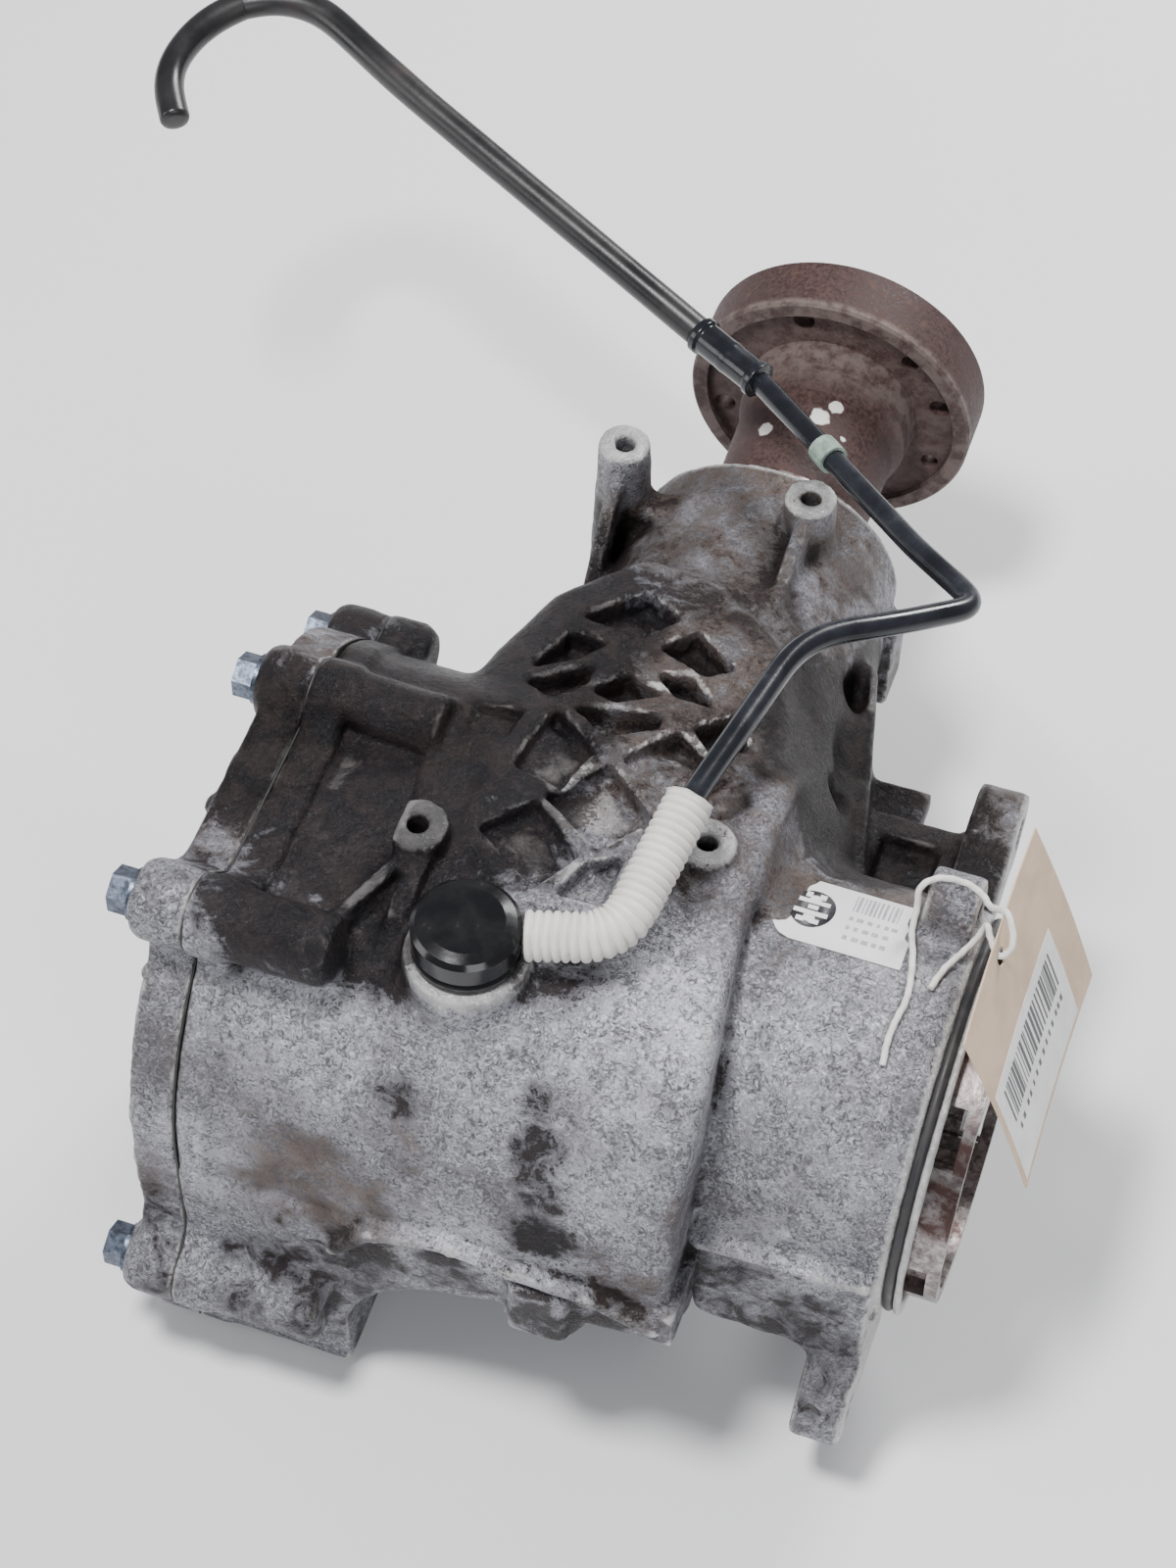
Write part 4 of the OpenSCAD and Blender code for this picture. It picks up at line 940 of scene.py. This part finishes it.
def tube(name, path, radius, sides=28, shape=None, end=0.6):
    """A closed tube with rounded ends. radius is a number or one per point; shape(i, angle) adds to it."""
    n = len(path)
    radius = np.full(n, radius, float) if np.isscalar(radius) else np.asarray(radius, float)
    ahead = np.gradient(path, axis=0)
    ahead /= np.linalg.norm(ahead, axis=1)[:, None]
    side = np.array((0, 0, 1.0)) if abs(ahead[0][2]) < 0.8 else np.array((1.0, 0, 0))
    rings = []
    angles = np.linspace(0, 2 * math.pi, sides, endpoint=False)

    def ring(centre, d, s, r):
        up = np.cross(d, s)
        return centre + np.outer(np.cos(angles) * r, s) + np.outer(np.sin(angles) * r, up)

    for i in range(n):
        side = side - ahead[i] * (side @ ahead[i])
        side /= np.linalg.norm(side)
        r = radius[i] + (shape(i, angles) if shape else 0)
        if i == 0:
            rings.append(ring(path[0], ahead[0], side, r * 0.55))
            rings.append(ring(path[0] + ahead[0] * end * 0.2, ahead[0], side, r * 0.9))
            rings.append(ring(path[0] + ahead[0] * end, ahead[0], side, r))
        elif i == n - 1:
            rings.append(ring(path[i] - ahead[i] * end, ahead[i], side, r))
            rings.append(ring(path[i] - ahead[i] * end * 0.2, ahead[i], side, r * 0.9))
            rings.append(ring(path[i], ahead[i], side, r * 0.55))
        else:
            rings.append(ring(path[i], ahead[i], side, r))
    verts = np.concatenate(rings)
    m = len(rings)
    faces = []
    for j in range(m - 1):
        for k in range(sides):
            a, b = j * sides + k, j * sides + (k + 1) % sides
            faces.append((a, a + sides, b + sides, b))
    faces.append(tuple(range(sides)))
    faces.append(tuple(range(m * sides - 1, (m - 1) * sides - 1, -1)))
    return mesh_object(name, verts * MM, faces)


def finish_piece(o, material, body, slot, *nodes):
    o.data.materials.append(material)
    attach(o, body)
    if nodes:
        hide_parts(*nodes)
    return o


SHEATH_ELBOW = np.array((20, -34, 99.0))
SHEATH_END = np.array((27, 14, 111.0))
CAP_MIDDLE = np.array((CAP_X, CAP_Y, CAP_SEAT + 8.0))
CAP_SIDE = (SHEATH_ELBOW - CAP_MIDDLE) / np.linalg.norm(SHEATH_ELBOW - CAP_MIDDLE)
HOSE_POINTS = [
    SHEATH_END, (40, 92, 104), (64, 110, 99), (88, 136, 88), (60, 158, 82), (-14, 226, 66)
]
SLEEVE_START, SLEEVE_END = np.array((-14, 226, 66.0)), np.array((-41, 241, 66.0))
PIPE_POINTS = [
    SLEEVE_END, (-175, 300, 90), (-228, 330, 96), (-256, 308, 92), (-262, 280, 86), (-250, 262, 82)
]

hose_path = rounded(
    [CAP_MIDDLE + CAP_SIDE * 24.5, SHEATH_ELBOW] + HOSE_POINTS, [9, 6, 16, 12, 8, 6]
)
hose = tube("hose", softened(spaced(hose_path, 170), 6), 4.0)
finish_piece(hose, HOSE, "breather_line", "hose_rubber", "breather_hose")
pipe_path = softened(spaced(rounded(PIPE_POINTS, [20, 24, 16, 12]), 150), 8)
pipe_r = 5.5 + 0.10 * np.sin(np.linspace(0, 40, 151)) * np.linspace(0, 1, 151)
pipe = tube("hook", pipe_path, pipe_r, 32, end=1.4)
finish_piece(pipe, PIPE, "breather_line", "hose_rubber", "hook_pipe")
sleeve_path = spaced(np.array([SLEEVE_START, SLEEVE_END]), 60)
u = np.linspace(0, 1, 61)
sleeve_r = 5.95 + 0.75 * (np.abs(u - 0.06) < 0.055) + 0.9 * (np.abs(u - 0.94) < 0.055) + 0.2 * np.exp(-((u - 0.5) / 0.06) ** 2)
sleeve = tube("joint_sleeve", sleeve_path, sleeve_r, 32)
finish_piece(sleeve, HOSE, "breather_line", "hose_rubber", "joining_sleeve")

RIBS, RINGS = 27, 12
sheath_path = spaced(
    rounded([CAP_MIDDLE + CAP_SIDE * 17.7, SHEATH_ELBOW, SHEATH_END], [12]), RIBS * RINGS
)
t = np.linspace(0, RIBS, RIBS * RINGS + 1)
wave = np.abs(np.sin(np.pi * t)) ** 0.55
sheath_r = 6.55 + 1.35 * wave
sheath_r[-9:] = 7.2 + 0.5 * np.linspace(0, 1, 9)


def sheath_shape(i, angles):
    ragged = 0.35 * np.sin(angles * 5 + 1) + 0.25 * np.sin(angles * 9)
    near_end = max(0.0, (i - (RIBS * RINGS - 9)) / 9)
    near_bend = math.exp(-((i / (RIBS * RINGS) - 0.45) / 0.03) ** 2)
    return ragged * near_end + 0.25 * np.sin(angles * 3 + i * 0.2) * near_bend


sheath = tube("sheath", sheath_path, sheath_r, 40, sheath_shape)
finish_piece(sheath, SHEATH, "breather_line", "sheath_plastic", "hose_sheath")

# ---------------------------------------------------------------- label, tag and string


def patch(name, u_range, v_range, place, steps, thick):
    """A thin sheet over a rectangle of parameters; place(u, v, lift) gives points in mm."""
    nu, nv = steps
    us, vs = np.linspace(*u_range, nu + 1), np.linspace(*v_range, nv + 1)
    top = [place(a, b, thick) for a in us for b in vs]
    under = [place(a, b, 0.0) for a in us for b in vs]
    n = len(top)
    faces = []
    for i in range(nu):
        for j in range(nv):
            a = i * (nv + 1) + j
            faces.append((a, a + nv + 1, a + nv + 2, a + 1))
            faces.append((n + a, n + a + 1, n + a + nv + 2, n + a + nv + 1))
    edge = [i * (nv + 1) for i in range(nu + 1)] + [nu * (nv + 1) + j for j in range(1, nv + 1)]
    edge += [i * (nv + 1) + nv for i in range(nu - 1, -1, -1)] + [j for j in range(nv - 1, 0, -1)]
    for i, a in enumerate(edge):
        b = edge[(i + 1) % len(edge)]
        faces.append((a, n + a, n + b, b))
    return mesh_object(name, np.array(top + under) * MM, faces, smooth=False)


def on_barrel(along, across, lift):
    """A point on the label: along the barrel from its left end, and across from its top edge."""
    a = math.radians(59 + across / 67.3 * 180 / math.pi)
    r = 67.15 + lift
    return (55 + along, r * math.cos(a), r * math.sin(a))


LABEL_L, LABEL_W = 45.0, 32.0


def label_place(s, w, lift):
    along = s * LABEL_L
    start = 9.0 * (1 - math.sqrt(max(0.0, 1 - (2 * w - 1) ** 2)))
    along = start * (1 - s) + along
    return on_barrel(along, w * LABEL_W, lift)


label = patch("label", (0, 1), (0, 1), label_place, (30, 28), 0.14)
finish_piece(label, PAPER, "casing", "label_paper", "housing_label")


def flat_marks(name, rects, place, thick, material, body, slot):
    """Printed marks as thin raised patches: each is (u0, u1, v0, v1)."""
    verts, faces = [], []
    for u0, u1, v0, v1 in rects:
        o = patch("mark", (u0, u1), (v0, v1), place, (2, 4), thick)
        base = len(verts)
        verts += [tuple(v.co) for v in o.data.vertices]
        faces += [tuple(base + i for i in p.vertices) for p in o.data.polygons]
        me = o.data
        bpy.data.objects.remove(o)
        bpy.data.meshes.remove(me)
    return finish_piece(mesh_object(name, verts, faces, smooth=False), material, body, slot)


def disc(name, centre, radius, thick, place, material, inner=0.0, squash=1.0, sides=36):
    verts, faces = [], []
    for lift in (0.0, thick):
        for r in (inner, radius):
            for k in range(sides):
                a = 2 * math.pi * k / sides
                verts.append(place(
                    centre[0] + r * math.cos(a) * squash, centre[1] + r * math.sin(a), lift
                ))
    for k in range(sides):
        m = (k + 1) % sides
        a, b, c, d = (q * sides for q in range(4))
        faces += [
            (c + k, d + k, d + m, c + m), (b + k, b + m, d + m, d + k),
            (a + k, c + k, c + m, a + m), (a + k, a + m, b + m, b + k)
        ]
    return finish_piece(
        mesh_object(name, np.array(verts) * MM, faces), material, "casing", "label_paper"
    )


disc("label_roundel", (12.5, 16.5), 9.2, 0.26, on_barrel, INK, 0.02, 0.8)
flat_marks("label_roundel_bars", [(7.4, 17.6, 12.6, 14.6), (7.0, 18.0, 18.2, 20.2), (9.0, 11.0, 8.8, 11.6), (13.4, 15.6, 8.8, 11.6),
                                  (8.6, 11.4, 21.8, 23.8), (13.0, 16.0, 21.8, 23.8), (11.0, 14.4, 15.4, 17.4)],
           on_barrel, 0.36, PAPER, "casing", "label_paper")
rng = np.random.default_rng(3)
marks, a = [], 24.5
while a < 40:
    w = float(rng.uniform(0.35, 1.1))
    marks.append((a, a + w, 3.0, 12.5))
    a += w + float(rng.uniform(0.5, 1.0))
for row in range(3):
    a = 24.5
    while a < 39:
        w = float(rng.uniform(0.8, 2.4))
        marks.append((a, a + w, 15.5 + row * 4.6, 17.2 + row * 4.6))
        a += w + float(rng.uniform(0.8, 1.8))
flat_marks("label_marks", marks, on_barrel, 0.24, FAINT_INK, "casing", "label_paper")

TAG_TILT = math.radians(-22.3)
TAG_C, TAG_S = math.cos(TAG_TILT), math.sin(TAG_TILT)


def tag_place(down, along, lift):
    """A point on the card: mm down from its top edge, and along it from the front. The card curls a little."""
    x = lift + 2.4 * (along / 84 - 0.5) ** 2 * 4 * 0.35 + 0.9 * math.sin(down / 75 * math.pi) - 0.9 * (down / 75) ** 2
    z = -down
    return (126.5 + x * TAG_C + z * TAG_S, -30 + along, 90 - x * TAG_S + z * TAG_C)


def card_mesh():
    """The card with its punched hole: a grid whose cells near the hole follow its rim."""
    hole_d, hole_a, hole_r = 6.0, 38.0, 3.2
    bm = bmesh.new()
    nd, na = 38, 42
    layers = []
    for lift in (0.55, 0.0):
        grid = []
        for i in range(nd + 1):
            for j in range(na + 1):
                d, a = 75 * i / nd, 84 * j / na
                q = math.hypot(d - hole_d, a - hole_a)
                if 0.3 < q < hole_r * 1.45:
                    d, a = hole_d + (d - hole_d) * hole_r / q, hole_a + (a - hole_a) * hole_r / q
                grid.append(bm.verts.new([c * MM for c in tag_place(d, a, lift)]))
        layers.append(grid)
    top, under = layers
    keep = []
    for i in range(nd):
        for j in range(na):
            d, a = 75 * (i + 0.5) / nd, 84 * (j + 0.5) / na
            if math.hypot(d - hole_d, a - hole_a) > hole_r * 0.85:
                keep.append((i, j))
    used = set(keep)
    for i, j in keep:
        a = i * (na + 1) + j
        b, c, e = a + na + 1, a + na + 2, a + 1
        bm.faces.new((top[a], top[b], top[c], top[e]))
        bm.faces.new((under[a], under[e], under[c], under[b]))
        for (di, dj), (p, q) in (
            ((-1, 0), (e, a)), ((1, 0), (b, c)), ((0, -1), (a, b)), ((0, 1), (c, e))
        ):
            if (i + di, j + dj) not in used:
                bm.faces.new((top[p], under[p], under[q], top[q]))
    me = bpy.data.meshes.new("tag")
    loose = [v for v in bm.verts if not v.link_faces]
    bmesh.ops.delete(bm, geom=loose, context="VERTS")
    bmesh.ops.recalc_face_normals(bm, faces=bm.faces)
    bm.to_mesh(me)
    bm.free()
    o = bpy.data.objects.new("tag", me)
    bpy.context.scene.collection.objects.link(o)
    return o


tag = finish_piece(card_mesh(), CARD, "casing", "tag_paper", "tag_card")
sticker = patch(
    "sticker", (30, 73), (2, 68), lambda d, a, lift: tag_place(d, a, 0.56 + lift), (20, 30), 0.12
)
finish_piece(sticker, PAPER, "casing", "label_paper", "tag_sticker")
marks, a = [], 8.0
while a < 62:
    w = float(rng.choice([0.45, 0.9, 1.5]))
    marks.append((35.0, 50.5, a, a + w))
    a += w + float(rng.choice([0.6, 1.0, 1.6]))
a = 10.0
while a < 60:
    w = float(rng.uniform(1.0, 1.8))
    marks.append((54.5, 57.0, a, a + w))
    a += w + float(rng.uniform(1.4, 3.4))
bars = flat_marks(
    "sticker_bars", marks, lambda d, a, lift: tag_place(d, a, 0.66 + lift), 0.10, INK, "casing",
    "label_paper"
)

STRING_POINTS = [
    (111, 0, 68.8), (113, 8, 68.8), (116.5, 15, 69.4), (119.9, 20, 72.5), (122, 22, 78), (124.6, 14.5, 83.2),
    (129, 8, 84.6), (132, 11, 88.5), (128, 18, 93), (122, 24, 85.5), (118, 31, 80.4), (112, 34, 79.8),
    (104, 33, 80.2), (99, 28.5, 79.1), (99.3, 25, 72), (99.8, 19, 68.2), (102.5, 10, 68.6), (104.5, 0, 68.8),
    (105, -7, 68.5), (104, -14, 67.5), (103.5, -21, 65.6), (104.2, -28, 63),
]


def catmull(points, per=12):
    p = np.array([points[0], *points, points[-1]], float)
    out = []
    for i in range(1, len(p) - 2):
        for k in range(per):
            t = k / per
            out.append(0.5 * (2 * p[i] + (p[i + 1] - p[i - 1]) * t + (2 * p[i - 1] - 5 * p[i] + 4 * p[i + 1] - p[i + 2]) * t * t
                              + (3 * p[i] - p[i - 1] - 3 * p[i + 1] + p[i + 2]) * t ** 3))
    return np.array(out + [p[-1]])


string_path = catmull(STRING_POINTS)
string = tube(
    "string", string_path, 1.05, 14, lambda i, angles: 0.09 * np.sin(angles * 3 + i * 0.9), 0.3
)
finish_piece(string, STRING, "casing", "string_fabric", "tag_string")

# ---------------------------------------------------------------- CAD nodes that stay, with their finishes

KEPT = {
    BOLT: ["cover_bolts", "fill_plug", "drain_plug"],
    GROUND: ["dowel_pins", "left_bearing_cup", "right_bearing_cup", "head_bearing_cup", "tail_bearing_cup", "left_bearing_cone",
             "right_bearing_cone", "head_bearing_cone", "tail_bearing_cone", "left_bearing_rollers", "right_bearing_rollers",
             "head_bearing_rollers", "tail_bearing_rollers", "breather_nipple"],
    CAGE: ["left_bearing_cage", "right_bearing_cage", "head_bearing_cage", "tail_bearing_cage"],
    SEAL: ["left_shaft_seal", "input_seal", "pinion_oil_seal", "spigot_o_ring"],
    GASKET: ["cover_gasket"],
    COPPER: ["plug_washers"],
    GEAR: ["crown_wheel", "pinion_shaft", "crown_wheel_bolts", "pinion_shim", "collapsible_spacer"],
    STEEL: ["input_shaft", "input_hub", "hub_snap_ring", "flange_nut", "dust_deflector"],
    RUST: ["output_flange"],
    CAP: ["breather_cap", "cap_nozzle"],
    CLIP: ["hose_clip"],
}
for material, names in KEPT.items():
    for name in names:
        o = NODES[name]
        o.data.materials.clear()
        o.data.materials.append(material)
